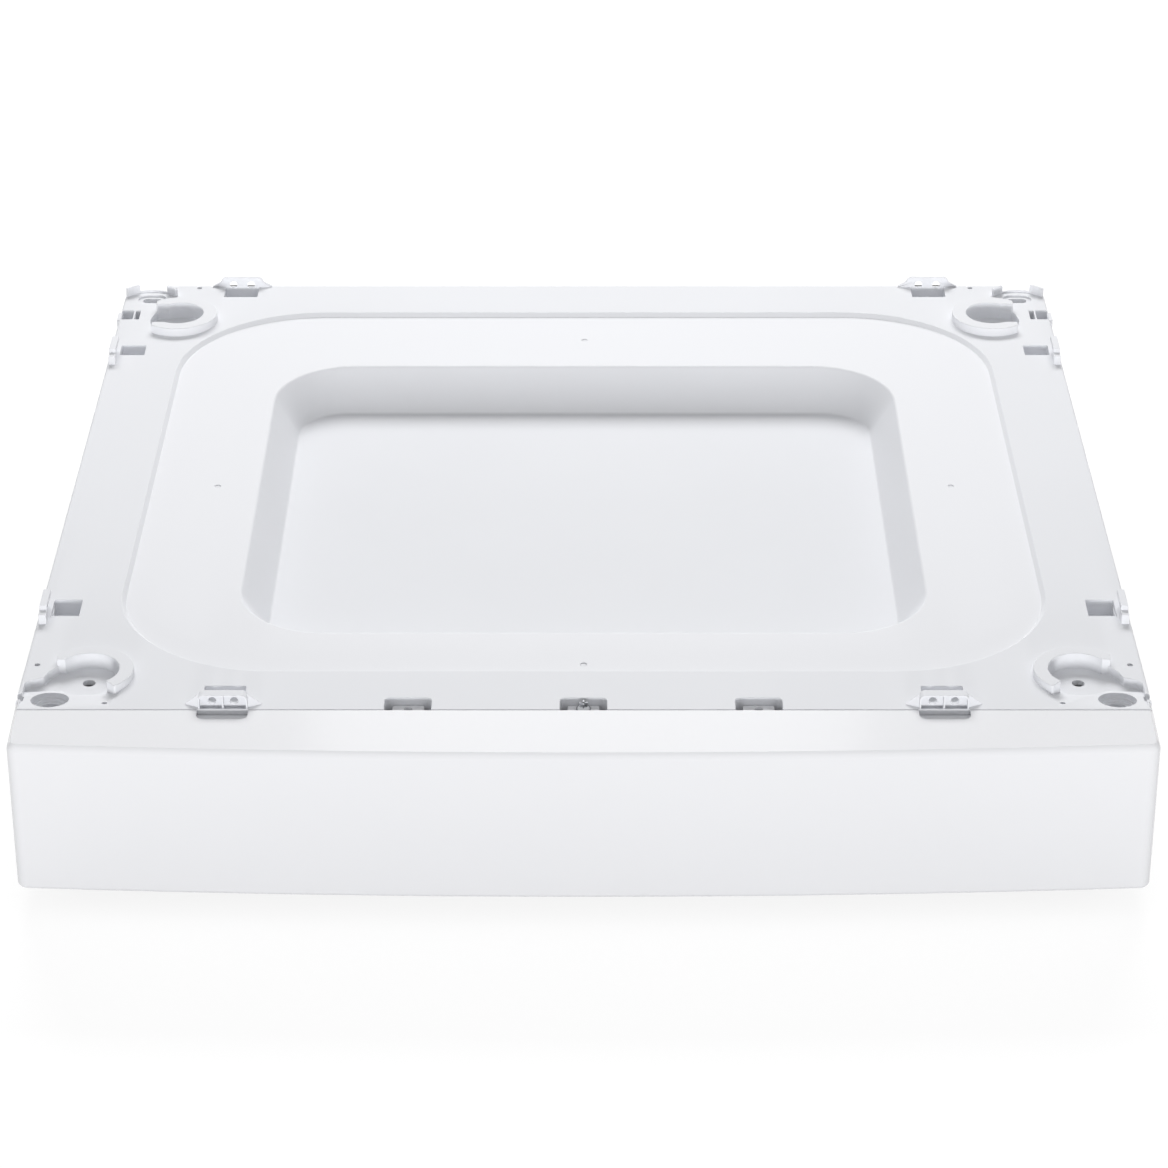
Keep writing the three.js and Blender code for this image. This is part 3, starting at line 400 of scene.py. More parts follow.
tray_screws = [(x, sum(beam) / 2) for x in (-150, 150) for beam in (BEAM_FRONT, BEAM_REAR)]
screw_bosses = [prism(circle(x, y, 4.5, 24), (UNDER, -2)) for x, y in tray_screws]
notch_middles = (-NOTCH["pitch"], 0.0, NOTCH["pitch"])
notch_half = NOTCH["width"] / 2
notch_walls = [
    block((x - notch_half - 2, x + notch_half + 2), (0, NOTCH["depth"] + 2), (UNDER - 0.7, -1))
    for x in notch_middles
]
join(tray, *undersides, *mirrored(ribs + window_walls + hanging), *screw_bosses, *notch_walls)

# The step and the pan: straight slopes with round toes and lips, the pan steeper at its sides.
step_curve = rounded([(7, STEP_FLOOR), (2.3, STEP_FLOOR), (0.0, 0.0), (-4, 0.0)], 0.8, False, 9)
pan_curve = rounded(
    [(30, PAN_FLOOR), (18.8, PAN_FLOOR), (-0.2, STEP_FLOOR), (-12, STEP_FLOOR)],
    [0, 2.6, 3, 0],
    False,
    7,
)
step_cut = bowl(STEP, [*step_curve[1:-1], (step_curve[-2][0] - 0.05, 1.5)])
pan_cut = bowl(PAN, [*pan_curve[1:-1], (pan_curve[-2][0] - 0.05, STEP_FLOOR + 1)])

# The front cup's floor runs forward as a ramp and fans out at its inner end.
LIP = 295.7
scoop_area = rounded(
    [(230, -3), (LIP, -3), (LIP, 27.3), (293.2, 30.6), (286.4, 33.3), (284.7, 38.8), (280.3, 45.4)]
    + [(275, 48), (263, 50), (252, 30), (230, 24)],
    [0, 0, 1, 2, 1.5, 1.5, 0, 0, 0, 0, 0],
)
scoop = pocket(scoop_area, CUP_FLOOR, rim=0.5, toe=0.7)
climb = prism(
    [(48.5, 6.5), (1.8, 6.5), (1.8, 0.02), (22.5, -3.1), (27.5, -5.01), (48.5, -5.01)],
    (225, 300),
    axis="x",
)
fan_low = [(250.8, 48.4), (264.5, -2.4), (301, -2.4), (301, 48.4)]
fan_high = [(216.8, 48.4), (230.5, -2.4), (301, -2.4), (301, 48.4)]
fan = body_of_rings([(fan_low, -5.1), (fan_high, 6.1)])
worked(scoop, [climb], "INTERSECT")
worked(scoop, [fan], "INTERSECT")

rear_bay = [(262, 475.5), (274, 474.5), (276.5, 488), (276.4, 490.3), (275.2, 496.7)]
rear_bay += [(273.3, 501.8), (262, 501.8)]


def cup_pockets(cup):
    x, y = cup["x"], cup["y"]
    return [
        pocket(circle(x, y, cup["inner"], 64), CUP_FLOOR),
        pocket(circle(x, y, CUP_HOLE, 32), THROUGH, rim=0.3, toe=0, top=CUP_FLOOR),
    ]


def small_hole(x, y, floor=THROUGH):
    return pocket(circle(x, y, 1.5, 24), floor, rim=0.35, toe=0)


def dimple(x, y):
    return pocket(circle(x, y, 1.7, 24), STEP_FLOOR - 0.45, rim=0.5, toe=0.3, top=STEP_FLOOR)


cuts = [
    *cup_pockets(CUP_FRONT),
    scoop,
    pocket(rectangle((LIP - 1, 300), (10.5, 17), 0.8), -4, rim=0.3, toe=0.4),
    # the stepped well in the front corner
    pocket(circle(*CORNER_WELL, 10.1), -5.8, rim=0.5),
    pocket(circle(*CORNER_WELL, 8.6), -7.3, rim=0.3, top=-5.8),
    pocket(circle(*CORNER_WELL, 6.25), THROUGH, rim=0.3, toe=0, top=-7.3),
    small_hole(291.5, 47.2),
    small_hole(251.4, 8.2),
    *cup_pockets(CUP_REAR),
    pocket(rounded(rear_bay, [0, 1, 3, 3, 3, 1, 0]), CUP_FLOOR),
    # the dish and the slot inside the kerb
    pocket(rectangle((269.25, 287.55), (514.6, 527.5), 6.4), -1.2, rim=0.35, toe=0.3),
    pocket(rectangle((272.3, 284.5), (518, 524.1), 3.0), THROUGH, rim=0.3, toe=0, top=-1.2),
    small_hole(249.7, 538.7, -SKIN - 1),
    # two slots beside the latch
    pocket(rectangle((284.1, 287.1), (490.2, 503.6), 0.6), -6, rim=0.3, toe=0),
    pocket(rectangle((288.2, 296), (490.2, 503.6), 0.6), -6, rim=0.3, toe=0),
    # windows beside the clips and under the plates
    pocket(rectangle((275.8, 291.2), (102.9, 119), 0.8), -9.8, rim=0.4, toe=0.5),
    pocket(rectangle((275.8, 291.2), (99, 104), 0.6), -1.2, rim=0.4, toe=0.3),
    pocket(rectangle((275.1, 290.5), (436.6, 450.8), 0.8), -9.0, rim=0.4, toe=0.5),
    pocket(rectangle((PLATE_REAR - 10.7, PLATE_REAR + 10.7), (524.8, 540.5), 0.8), -7.2, 0.4, 0.4),
    pocket(rectangle((PLATE_FRONT - 10.5, PLATE_FRONT + 11.5), (7.5, 24.4), 0.8), -6.2, 0.4, 0.4),
    block((PLATE_FRONT - 12.1, PLATE_FRONT + 12.1), (1.0, 5), (-6, 10)),
    dimple(214, 261.5),
]
middle_cuts = [
    pocket(rectangle((x - notch_half, x + notch_half), (-10, NOTCH["depth"]), 3.0), THROUGH, 0.5, 0)
    for x in notch_middles
]
middle_cuts += [dimple(0, 464), dimple(0, 52)]
middle_cuts += [prism(circle(x, y, 2.3, 20), (UNDER - 1, STEP_FLOOR - 1)) for x, y in tray_screws]
cut(tray, step_cut, pan_cut, *mirrored(cuts), *middle_cuts)



def cup_arc(cup, edge, start, end, steps):
    return arc(cup["x"], cup["y"], cup[edge], start, end, steps)


# Upstands of one front and one rear corner: C-shaped cup rings, the kerb and the latch.
front_ring = [
    (275.9, 46.0),
    (281.0, 46.0),
    *cup_arc(CUP_FRONT, "outer", 42, 229, 40),
    *cup_arc(CUP_FRONT, "inner", 229, 38, 34),
]
front_radii = [0.7, 0.9, 0.9] + [0] * 39 + [0.9, 0.9] + [0] * 34
rear_ring = [
    (273.85, 502.0),
    *cup_arc(CUP_REAR, "outer", 49.8, 310.2, 56),
    (273.85, 475.0),
    *cup_arc(CUP_REAR, "inner", 300.2, 61.3, 50),
]
rear_radii = [0.9, 0.9] + [0] * 55 + [0.9, 0.9, 0.6] + [0] * 49 + [0.6]


def kerb_wall(start, end, height):
    steps = max(4, round((end - start) / 5))
    outer = arc(KERB["x"], KERB["y"], KERB["outer"], start, end, steps)
    inner = arc(KERB["x"], KERB["y"], KERB["inner"], end, start, steps)
    return prism(outer + inner, (-SKIN, height), ends=(0, 0.35))


def side_clip(start, outer):
    """A hooked clip on the tray's edge: a low block in front, then a hooked wall."""
    inner, lean = outer - 4.6, 0.5
    hook = [(inner + 2.2, -1.2), (outer, -1.2), (outer - lean, 8.5), (inner, 8.5), (inner, 5.9)]
    hook.append((inner + 2.2, 4.3))
    low = [(inner, -1.2), (outer, -1.2), (outer - lean, 5.7), (inner, 5.7)]
    return [
        prism(rounded(low, [0, 0, 0.5, 0.5]), (start, start + 6.4), "y", (0.4, 0)),
        prism(
            rounded(hook, [0, 0, 0.5, 0.6, 0.4, 0.4]), (start + 5.6, start + 24), "y", (0.35, 0.35)
        ),
    ]


def front_plate():
    """The plate at the seam: a boxed rim, a recess that a rib divides and two screw holes."""
    x, half = PLATE_FRONT, 12.95
    rim = [(x + half, -7), (x + half, 7.9), (x - half, 7.9), (x - half, -7)]
    made = prism(rounded(rim, [0, 3, 3, 0]), (0.8, 7), "y", (0.3, 0.6))
    wings = []
    for side in (1, -1):
        inner, tip, crest = (x + side * reach for reach in (half - 1, 20.3, half + 0.2))
        foot = [(inner, 2), (inner, 7), (tip, 6.1), (tip, 5.5)]
        top = [(inner, 3.6), (inner, 5.4), (crest, 5.2), (crest, 4.4)]
        if side > 0:
            foot, top = foot[::-1], top[::-1]
        wings.append(body_of_rings([(foot, -1), (foot, 0.1), (top, 6.2)]))
    join(made, *wings)
    holes = [prism(circle(x + u, 2.6, 2.2, 32), (0, 9), "y") for u in (-5.75, 5.75)]
    recess = [(x - 12.1, -4), (x + 12.1, -4), (x + 12.1, 7.2), (x - 12.1, 7.2)]
    cut(made, prism(rounded(recess, [0, 0, 2.6, 2.6]), (0.5, 4.6), "y"), *holes)
    rib = [(x - 0.5, -6), (x + 0.5, -6), (x + 0.5, 7.5), (x - 0.5, 7.5)]
    return join(made, prism(rib, (1.3, 4.8), "y", (0.2, 0)))


def rear_plate():
    """The plate at the rear edge: a gabled lug whose foot reaches down through a window."""
    x = PLATE_REAR
    flank = [(11, -20), (11, -0.5), (19.25, 0), (19.25, 0.4), (14, 3.2), (12.6, 5.7), (10.8, 6.7)]
    outline = [(x + u, v) for u, v in flank] + [(x - u, v) for u, v in reversed(flank)]
    radii = [0, 0, 0.15, 0.15, 1, 1, 0.8]
    lug = prism(rounded(outline, radii + radii[::-1]), (539.9, 542.3), "y", (0.35, 0.35))
    hole = ((2.5, 538), (2.5, 540.9), (3.6, 542.4), (3.6, 544))
    holes = [
        body_of_rings([(circle(x + u, 1.8, r, 32), y) for r, y in hole], "y") for u in (-5.7, 5.7)
    ]
    return cut(lug, *holes)


upstands = [
    prism(rounded(front_ring, front_radii), (CUP_FLOOR, CUP_FRONT["rise"]), ends=(0, 0.6)),
    prism(rounded(rear_ring, rear_radii), (CUP_FLOOR, CUP_REAR["rise"]), ends=(0, 0.6)),
    kerb_wall(41, 139, 1.1),
    kerb_wall(41, 67, 5.5),
    kerb_wall(118, 139, 5.5),
    prism(rectangle((295.5, 298.2), (490.5, 502), 0.5), (-6, -0.8), ends=(0, 0.4)),
    *side_clip(91.7, 296.9),
    *side_clip(422.4, 296.0),
    front_plate(),
    rear_plate(),
]
join(tray, *mirrored(upstands))


def finished(body, name, lift, flatten=0.05):
    """Brings a moulding into the frame, in metres, with flats kept flat and rounds smooth."""
    mesh = body.data
    work = bmesh.new()
    work.from_mesh(mesh)
    bmesh.ops.remove_doubles(work, verts=work.verts, dist=0.002)
    if flatten:
        bmesh.ops.dissolve_limit(
            work, angle_limit=math.radians(flatten), verts=work.verts, edges=work.edges
        )
    bmesh.ops.translate(work, verts=work.verts, vec=(0, -SEAM_TO_MIDDLE, lift))
    bmesh.ops.scale(work, verts=work.verts, vec=(0.001, 0.001, 0.001))
    work.to_mesh(mesh)
    work.free()
    mesh.shade_smooth()
    mesh.set_sharp_from_angle(angle=math.radians(34))
    even = body.modifiers.new("even", "WEIGHTED_NORMAL")
    even.keep_sharp = True
    even.weight = 90
    bpy.context.view_layer.update()
    view = bpy.context.evaluated_depsgraph_get()
    plain = bpy.data.meshes.new_from_object(body.evaluated_get(view))
    body.modifiers.clear()
    body.data = plain
    body.name = plain.name = name
    return body


finished(tray, "tray_moulding", TOP)


def plastic(name, color, roughness, grain=(0.0, 0.0), coat=0.0, mottle=0.012, polish_and_painted_sheen=None):
    """Injection-moulded plastic: a fine eroded grain, and pigment that varies very slightly."""
    material = bpy.data.materials.new(name)
    material.use_nodes = True
    tree = material.node_tree
    shader = tree.nodes["Principled BSDF"]
    shader.inputs["Roughness"].default_value = roughness
    shader.inputs["Coat Weight"].default_value = coat
    shader.inputs["Coat Roughness"].default_value = 0.08
    shader.inputs["Specular IOR Level"].default_value = 0.35
    where = tree.nodes.new("ShaderNodeTexCoord")
    clouds = tree.nodes.new("ShaderNodeTexNoise")
    clouds.inputs["Scale"].default_value = 9.0
    clouds.inputs["Detail"].default_value = 3.0
    tree.links.new(where.outputs["Object"], clouds.inputs["Vector"])
    ramp = tree.nodes.new("ShaderNodeValToRGB")
    ramp.color_ramp.elements[0].position = 0.35
    ramp.color_ramp.elements[1].position = 0.65
    ramp.color_ramp.elements[0].color = (*[c * (1 - mottle) for c in color], 1.0)
    ramp.color_ramp.elements[1].color = (*color, 1.0)
    tree.links.new(clouds.outputs["Fac"], ramp.inputs["Fac"])
    tree.links.new(ramp.outputs["Color"], shader.inputs["Base Color"])
    # On one level the plastic is smoother, and it is also given a lighter tone there: that lighter
    # tone is painted sheen.
    if polish_and_painted_sheen:
        height, painted_sheen_tone, smoother = polish_and_painted_sheen
        split = tree.nodes.new("ShaderNodeSeparateXYZ")
        tree.links.new(where.outputs["Object"], split.inputs["Vector"])
        level = tree.nodes.new("ShaderNodeMath")
        level.operation = "COMPARE"
        level.inputs[1].default_value = height
        level.inputs[2].default_value = 0.00006
        tree.links.new(split.outputs["Z"], level.inputs[0])
        tone = tree.nodes.new("ShaderNodeMix")
        tone.data_type = "RGBA"
        tree.links.new(level.outputs[0], tone.inputs["Factor"])
        tree.links.new(ramp.outputs["Color"], tone.inputs[6])
        tone.inputs[7].default_value = (*painted_sheen_tone, 1.0)
        tree.links.new(tone.outputs[2], shader.inputs["Base Color"])
        gloss = tree.nodes.new("ShaderNodeMapRange")
        gloss.inputs["To Min"].default_value = roughness
        gloss.inputs["To Max"].default_value = smoother
        tree.links.new(level.outputs[0], gloss.inputs["Value"])
        tree.links.new(gloss.outputs["Result"], shader.inputs["Roughness"])
    if grain[0]:
        pits = tree.nodes.new("ShaderNodeTexNoise")
        pits.inputs["Scale"].default_value = grain[0]
        pits.inputs["Detail"].default_value = 2.0
        tree.links.new(where.outputs["Object"], pits.inputs["Vector"])
        bump = tree.nodes.new("ShaderNodeBump")
        bump.inputs["Strength"].default_value = 1.0
        bump.inputs["Distance"].default_value = grain[1]
        tree.links.new(pits.outputs["Fac"], bump.inputs["Height"])
        tree.links.new(bump.outputs["Normal"], shader.inputs["Normal"])
    return material


tray.data.materials.clear()
# The step floor is a smoother, polished level. Its lighter base colour is painted sheen.
step_polish_and_painted_sheen = ((TOP + STEP_FLOOR) / 1000, (0.872, 0.88, 0.91), 0.33)
satin_grain = (1400.0, 0.00001)
tray.data.materials.append(
    plastic("satin_white_plastic", (0.835, 0.845, 0.875), 0.4, satin_grain, polish_and_painted_sheen=step_polish_and_painted_sheen)
)
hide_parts("top_tray")
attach(tray, "housing")

# ------------------------------------------------------------------------------ bowed front panel
# A glossy hollow moulding with one long bow, round corners and a flange that meets the tray at the
# seam. Its back carries ribs, screw pillars, two wells for the plates and three screw tongues.

FOOT_HEIGHT = 12.0
FRONT_HALF, FRONT_DRAFT, FRONT_DEPTH, FRONT_CORNER, FRONT_EDGE = 297.6, 0.0226, 45.7, 6.0, 2.9
CREASE_RADIUS, CREASE_START = 6.0, 38.0
BOW_RADIUS, FRONT_WALL = 5077.0, 3.0
RETURN_INNER, RETURN_REAR, SEAM = 296.8, 9.0, 0.5


def panel_plan(inset, rear):
    """Plan of the panel: side returns, round corners and one long bow, back to `rear`."""
    corner, bow = FRONT_CORNER - inset, BOW_RADIUS - inset
    centre_y, corner_x = BOW_RADIUS - FRONT_DEPTH, FRONT_HALF - FRONT_CORNER
    corner_y = centre_y - math.sqrt((bow - corner) ** 2 - corner_x**2)
    turn = math.degrees(math.asin(corner_x / (bow - corner)))
    lean = math.degrees(FRONT_DRAFT)
    side = corner_x + corner * math.cos(FRONT_DRAFT)
    spread = (rear - corner_y + corner * math.sin(FRONT_DRAFT)) * math.tan(FRONT_DRAFT)
    return [
        (side + spread, rear),
        (-side - spread, rear),
        *arc(-corner_x, corner_y, corner, 180 + lean, 270 - turn, 12)[:-1],
        *arc(0, centre_y, bow, 270 - turn, 270 + turn, 72),
        *arc(corner_x, corner_y, corner, 270 + turn, 360 - lean, 12)[1:],
    ]


panel_turns = [math.radians(90 * k / 9) for k in range(10)]
panel_rings = [
    (panel_plan(FRONT_EDGE * (1 - math.sin(a)), 20), FOOT_HEIGHT + FRONT_EDGE * (1 - math.cos(a)))
    for a in panel_turns
]
for k in range(9):
    a = math.radians(90 - (90 - CREASE_START) * k / 8)
    drop = CREASE_RADIUS * (math.cos(math.radians(CREASE_START)) - math.cos(a))
    panel_rings.append((panel_plan(CREASE_RADIUS * (1 - math.sin(a)), 20), TOP - drop))
panel = body_of_rings(panel_rings)
seam_edge = [(-SEAM - 0.4 - u, TOP - 0.4 + v) for u, v in arc(0, 0, 0.4, 180, 90, 4)]
seam_side = prism(
    [(40, -1), (40, TOP + 1), (-SEAM - 0.4, TOP + 1), *reversed(seam_edge), (-SEAM, -1)],
    (-RETURN_INNER, RETURN_INNER),
    axis="x",
)
cut(
    panel,
    prism(panel_plan(FRONT_WALL, 30), (FOOT_HEIGHT + FRONT_WALL, TOP - FRONT_WALL)),
    block((-270, 270), (-30, 30), (0, FOOT_HEIGHT + FRONT_WALL + 1)),
    seam_side,
    block((-400, 400), (RETURN_REAR, 40), (0, TOP + 1)),
)


def panel_back(x):
    return FRONT_WALL - FRONT_DEPTH + x * x / (2 * BOW_RADIUS)


PANEL_SCREWS, PANEL_SCREW_Z = (-235.0, -105.0, 105.0, 235.0), 44.0
TONGUE_HOLE_Y, WELL_HALF, WELL_DEPTH = 8.0, 13.35, 9.3
panel_parts = [
    block((x - 1, x + 1), (panel_back(x) - 1, -18), (FOOT_HEIGHT + 2, TOP - 2))
    for x in (-276, -184, -92, 0, 92, 184, 276)
]
panel_parts += [
    prism(circle(x, PANEL_SCREW_Z, 5, 40), (panel_back(x) - 1, 1.7), "y") for x in PANEL_SCREWS
]
for x in (-PLATE_FRONT, PLATE_FRONT):
    well = WELL_HALF + 2
    well_ys = (-SEAM - WELL_DEPTH - 2, -SEAM)
    panel_parts.append(block((x - well, x + well), well_ys, (TOP - 5, TOP - 1)))
for x in notch_middles:
    span = (x - 8.4, x + 8.4)
    tongue = rectangle(span, (-12, 11.9), 1.5)
    panel_parts.append(prism(tongue, (TOP - 7, TOP - 4.5), "z", (0.3, 0.3)))
    panel_parts.append(block(span, (-SEAM - 2.5, -SEAM), (TOP - 5.5, TOP - 1)))
join(panel, *panel_parts)
well_cuts = [
    pocket(
        rectangle((x - WELL_HALF, x + WELL_HALF), (-WELL_DEPTH - SEAM, 20), 4.5),
        TOP - 3.2,
        rim=0.3,
        toe=0.6,
        top=TOP,
    )
    for x in (-PLATE_FRONT, PLATE_FRONT)
]
panel_holes = [prism(circle(x, PANEL_SCREW_Z, 2.3, 24), (-20, 5), "y") for x in PANEL_SCREWS]
tongue_holes = [
    prism(circle(x, TONGUE_HOLE_Y, 2.3, 24), (TOP - 12, TOP + 1)) for x in notch_middles
]
cut(panel, *well_cuts, *panel_holes, *tongue_holes)
finished(panel, "front_panel", 0.0, flatten=0.02)
panel.data.materials.clear()
panel.data.materials.append(
    plastic("gloss_white_plastic", (0.895, 0.9, 0.925), 0.2, coat=0.3, mottle=0.006)
)
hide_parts("drawer_front")
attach(panel, "drawer")

# ------------------------------------------------------------------------------ drawer tub
# One moulded tub in a plainer white, behind the front panel; the CAD solid has its walls, lugs and
# runners, so only its finish is given here.


def named(*starts):
    return [name for name in nodes if name.startswith(starts)]


def dressed(material, *names):
    for name in names:
        for slot in nodes[name].material_slots:
            slot.link = "DATA"
            slot.material = material


dressed(plastic("tub_plastic", (0.79, 0.8, 0.82), 0.45, (900.0, 0.000015)), "drawer_box")

# ------------------------------------------------------------------------------ chassis
# Side panels, rear panel, beams and floor rails of folded sheet steel, spot-welded and then
# powder-coated white, with the coat's fine orange-peel.

powder_coat = plastic("white_powder_coat", (0.8, 0.81, 0.83), 0.36, (450.0, 0.00002), mottle=0.02)
chassis = named("side_panel", "front_beam", "rear_beam")
dressed(powder_coat, "rear_panel", "front_floor_rail", "rear_floor_rail", *chassis)

# ------------------------------------------------------------------------------ telescopic slides
# Rolled members of zinc-plated strip with ball cages between them, one set at each side of the
# drawer. Drawing lines run along the strip.


def plated_steel(name, color, roughness, stretch):
    material = bpy.data.materials.new(name)
    material.use_nodes = True
    tree = material.node_tree
    shader = tree.nodes["Principled BSDF"]
    shader.inputs["Metallic"].default_value = 1.0
    where = tree.nodes.new("ShaderNodeTexCoord")
    placed = tree.nodes.new("ShaderNodeMapping")
    placed.inputs["Scale"].default_value = stretch
    tree.links.new(where.outputs["Object"], placed.inputs["Vector"])
    lines = tree.nodes.new("ShaderNodeTexNoise")
    lines.inputs["Scale"].default_value = 60.0
    lines.inputs["Detail"].default_value = 4.0
    tree.links.new(placed.outputs["Vector"], lines.inputs["Vector"])
    tint = tree.nodes.new("ShaderNodeValToRGB")
    tint.color_ramp.elements[0].color = (*[c * 0.82 for c in color], 1.0)
    tint.color_ramp.elements[1].color = (*color, 1.0)
    tree.links.new(lines.outputs["Fac"], tint.inputs["Fac"])
    tree.links.new(tint.outputs["Color"], shader.inputs["Base Color"])
    rough = tree.nodes.new("ShaderNodeMapRange")
    rough.inputs["To Min"].default_value = roughness * 0.8
    rough.inputs["To Max"].default_value = roughness * 1.3
    tree.links.new(lines.outputs["Fac"], rough.inputs["Value"])
    tree.links.new(rough.outputs["Result"], shader.inputs["Roughness"])
    bump = tree.nodes.new("ShaderNodeBump")
    bump.inputs["Distance"].default_value = 0.00002
    tree.links.new(lines.outputs["Fac"], bump.inputs["Height"])
    tree.links.new(bump.outputs["Normal"], shader.inputs["Normal"])
    return material


rolled_zinc = plated_steel("rolled_zinc", (0.66, 0.68, 0.7), 0.28, (14.0, 0.5, 14.0))
cage_steel = plated_steel("cage_steel", (0.5, 0.51, 0.53), 0.35, (3.0, 3.0, 3.0))
dressed(rolled_zinc, *named("slide_outer", "slide_middle", "slide_inner"))
dressed(cage_steel, *named("ball_cage"))

# ------------------------------------------------------------------------------ screws
# Pan-head screws with a cross recess, zinc plated. One Geometry Nodes tree makes them all: it puts
# a screw on every point of a piece, turned to the point's `facing`, with its sizes as inputs.


def screw_tree(material):
    tree = bpy.data.node_groups.new("pan_head_screws", "GeometryNodeTree")
    made = tree.interface.new_socket
    made("Geometry", in_out="INPUT", socket_type="NodeSocketGeometry")
    for label in ("Head Radius", "Shank Radius", "Length"):
        made(label, in_out="INPUT", socket_type="NodeSocketFloat")
    made("Geometry", in_out="OUTPUT", socket_type="NodeSocketGeometry")
    add, link = tree.nodes.new, tree.links.new
    given, result = add("NodeGroupInput"), add("NodeGroupOutput")

    def times(source, factor):
        node = add("ShaderNodeMath")
        node.operation = "MULTIPLY"
        link(source, node.inputs[0])
        node.inputs[1].default_value = factor
        return node.outputs[0]

    def vector(x=None, y=None, z=None):
        node = add("ShaderNodeCombineXYZ")
        for value, socket in zip((x, y, z), node.inputs):
            if value is not None:
                link(value, socket)
        return node.outputs[0]

    def moved(geometry, offset, scale=None):
        node = add("GeometryNodeTransform")
        link(geometry, node.inputs["Geometry"])
        link(offset, node.inputs["Translation"])
        if scale:
            node.inputs["Scale"].default_value = scale
        return node.outputs[0]

    def boolean(operation, first, *others):
        node = add("GeometryNodeMeshBoolean")
        node.operation = operation
        if operation == "DIFFERENCE":
            link(first, node.inputs["Mesh 1"])
        else:
            link(first, node.inputs["Mesh 2"])
        for other in others:
            link(other, node.inputs["Mesh 2"])
        return node.outputs["Mesh"]

    head_radius, shank_radius, length = given.outputs[1], given.outputs[2], given.outputs[3]
    ball = add("GeometryNodeMeshUVSphere")
    ball.inputs["Segments"].default_value = 32
    ball.inputs["Rings"].default_value = 16
    link(head_radius, ball.inputs["Radius"])
    flat = moved(ball.outputs["Mesh"], vector(), (1.0, 1.0, 0.6))
    trim = add("GeometryNodeMeshCube")
    wide = times(head_radius, 3.0)
    link(vector(wide, wide, wide), trim.inputs["Size"])
    below = moved(trim.outputs["Mesh"], vector(None, None, times(head_radius, -1.5)))
    slots = []
    for long, narrow in ((1.1, 0.2), (0.2, 1.1)):
        bit = add("GeometryNodeMeshCube")
        size = vector(times(head_radius, long), times(head_radius, narrow), times(head_radius, 0.8))
        link(size, bit.inputs["Size"])
        slots.append(moved(bit.outputs["Mesh"], vector(None, None, times(head_radius, 0.65))))
    head = boolean("DIFFERENCE", flat, below, *slots)
    shank = add("GeometryNodeMeshCylinder")
    shank.inputs["Vertices"].default_value = 20
    link(shank_radius, shank.inputs["Radius"])
    link(times(length, 0.86), shank.inputs["Depth"])
    tip = add("GeometryNodeMeshCone")
    tip.inputs["Vertices"].default_value = 20
    link(times(shank_radius, 0.35), tip.inputs["Radius Top"])
    link(shank_radius, tip.inputs["Radius Bottom"])
    link(times(length, 0.16), tip.inputs["Depth"])
    tip_down = add("GeometryNodeTransform")
    link(tip.outputs["Mesh"], tip_down.inputs["Geometry"])
    tip_down.inputs["Rotation"].default_value = (math.pi, 0.0, 0.0)
    link(vector(None, None, times(length, -0.84)), tip_down.inputs["Translation"])
    stem = moved(shank.outputs["Mesh"], vector(None, None, times(length, -0.43)))
    whole = boolean("UNION", head, stem, tip_down.outputs[0])
    facing = add("GeometryNodeInputNamedAttribute")
    facing.data_type = "FLOAT_VECTOR"
    facing.inputs["Name"].default_value = "facing"
    align = add("FunctionNodeAlignRotationToVector")
    align.axis = "Z"
    link(facing.outputs["Attribute"], align.inputs["Vector"])
    spread = add("GeometryNodeInstanceOnPoints")
    link(given.outputs[0], spread.inputs["Points"])
    link(whole, spread.inputs["Instance"])
    link(align.outputs["Rotation"], spread.inputs["Rotation"])
    real = add("GeometryNodeRealizeInstances")
    link(spread.outputs["Instances"], real.inputs["Geometry"])
    paint = add("GeometryNodeSetMaterial")
    paint.inputs["Material"].default_value = material
    link(real.outputs["Geometry"], paint.inputs["Geometry"])
    link(paint.outputs["Geometry"], result.inputs[0])
    return tree


# The screws are the same zinc plating as the slides. Their darker base colour is a painted dark
# reflection.
zinc_with_painted_dark_reflection = plated_steel("zinc_with_painted_dark_reflection", (0.46, 0.47, 0.49), 0.24, (4.0, 4.0, 4.0))
screws_on_points = screw_tree(zinc_with_painted_dark_reflection)


def screws(name, body, names, towards, sizes):
    """One piece for like screws, each where its CAD screw is; INWARDS is towards the middle."""
    head, shank, length = (size / 1000 for size in sizes)
    points, facings = [], []
    for node in names:
        low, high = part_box(node)
        facing = Vector(towards or (1.0 if low.x < 0 else -1.0, 0.0, 0.0))
        middle = (low + high) / 2
        reach = sum(abs(f) * (h - l) for f, l, h in zip(facing, low, high)) / 2
        points.append(middle + facing * (reach - 0.6 * head))
        facings.append(facing)
    mesh = bpy.data.meshes.new(name)
    mesh.from_pydata(points, [], [])
    attribute = mesh.attributes.new("facing", "FLOAT_VECTOR", "POINT")
    for slot, facing in zip(attribute.data, facings):
        slot.vector = facing
    piece = bpy.data.objects.new(name, mesh)
    scene.collection.objects.link(piece)
    maker = piece.modifiers.new("screws", "NODES")
    maker.node_group = screws_on_points
    values = {"Head Radius": head, "Shank Radius": shank, "Length": length}
    for item in screws_on_points.interface.items_tree:
        if item.in_out == "INPUT" and item.name in values:
            maker[item.identifier] = values[item.name]
    bpy.context.view_layer.update()
    view = bpy.context.evaluated_depsgraph_get()
    plain = bpy.data.meshes.new_from_object(piece.evaluated_get(view))
    piece.modifiers.clear()
    piece.data = plain
    plain.shade_smooth()
    plain.set_sharp_from_angle(angle=math.radians(40))
    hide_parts(*names)
    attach(piece, body)


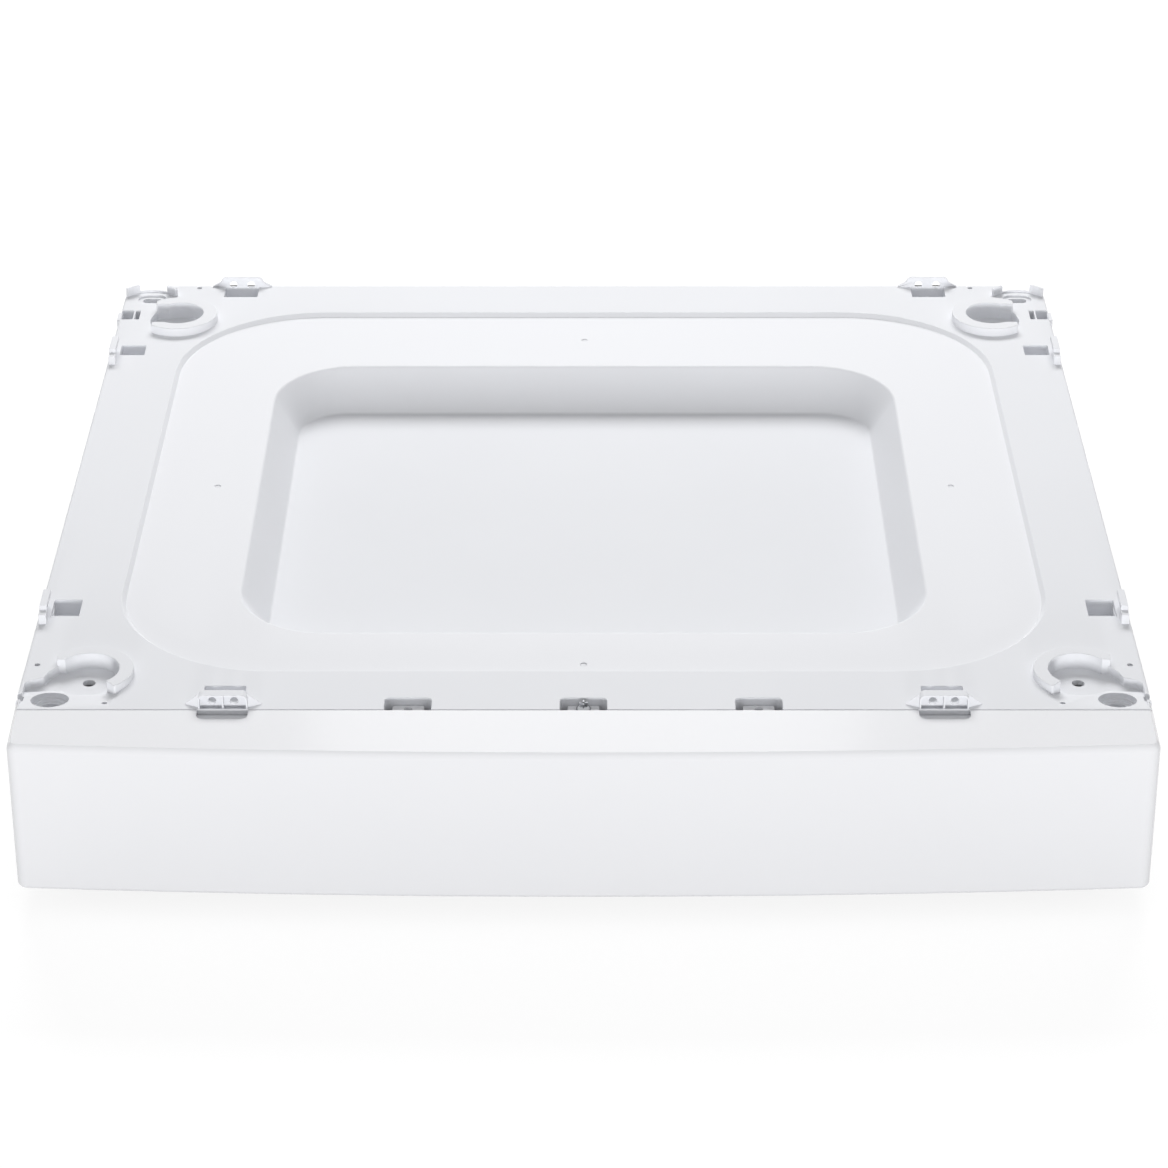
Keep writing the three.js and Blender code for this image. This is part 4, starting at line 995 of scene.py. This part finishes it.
DOWN, UP, REARWARDS, INWARDS = (0.0, 0.0, -1.0), (0.0, 0.0, 1.0), (0.0, 1.0, 0.0), None
screws("foot_screws", "housing", named("foot_screw_"), DOWN, (5.6, 2.6, 12.0))
screws("tray_screws", "housing", named("tray_screw_"), DOWN, (4.0, 1.6, 6.0))
screws("rear_screws", "housing", named("rear_panel_screw_"), REARWARDS, (3.0, 1.7, 5.0))
screws("slide_screws", "housing", named("slide_screw_outer_"), INWARDS, (2.9, 1.7, 4.2))
screws("panel_screws", "drawer", named("front_panel_screw_"), REARWARDS, (4.0, 1.6, 14.0))
screws("tub_screws", "drawer", named("slide_screw_inner_"), INWARDS, (3.6, 1.7, 4.4))
screws("fixing_screw", "drawer", ["front_fixing_screw"], UP, (4.0, 1.5, 7.6))

# ------------------------------------------------------------------------------ feet and buffers
# Turned rubber feet with a recessed screw, and the rubber blocks the slides close against.

black_rubber = plastic("black_rubber", (0.028, 0.028, 0.03), 0.7, (1500.0, 0.00003), mottle=0.2)
FOOT_PROFILE = [(3, 5), (9, 5), (9, 0.5), (9.5, 0), (17.6, 0), (18.2, 0.3), (19.9, 1.8), (20, 2.4)]
FOOT_PROFILE += [(17.6, 11.6), (17.2, 12), (3, 12)]
foot_vertices, foot_faces, SIDES = [], [], 48
foot_nodes = [name for name in named("foot_") if "screw" not in name]
for name in foot_nodes:
    low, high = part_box(name)
    centre, base = (low + high) / 2, len(foot_vertices)
    for k in range(SIDES):
        angle = 2 * math.pi * k / SIDES
        for r, z in FOOT_PROFILE:
            x, y = centre.x + r / 1000 * math.cos(angle), centre.y + r / 1000 * math.sin(angle)
            foot_vertices.append((x, y, z / 1000))
    rows = len(FOOT_PROFILE)
    for k in range(SIDES):
        for i in range(rows):
            a, b = base + k * rows, base + (k + 1) % SIDES * rows
            j = (i + 1) % rows
            foot_faces.append((a + i, a + j, b + j, b + i))
feet_mesh = bpy.data.meshes.new("feet")
feet_mesh.from_pydata(foot_vertices, [], foot_faces)
turned = bmesh.new()
turned.from_mesh(feet_mesh)
bmesh.ops.recalc_face_normals(turned, faces=turned.faces)
turned.to_mesh(feet_mesh)
turned.free()
feet_mesh.shade_smooth()
feet_mesh.set_sharp_from_angle(angle=math.radians(40))
feet = bpy.data.objects.new("feet", feet_mesh)
scene.collection.objects.link(feet)
feet_mesh.materials.append(black_rubber)
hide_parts(*foot_nodes)
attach(feet, "housing")
dressed(black_rubber, *named("slide_buffer"))
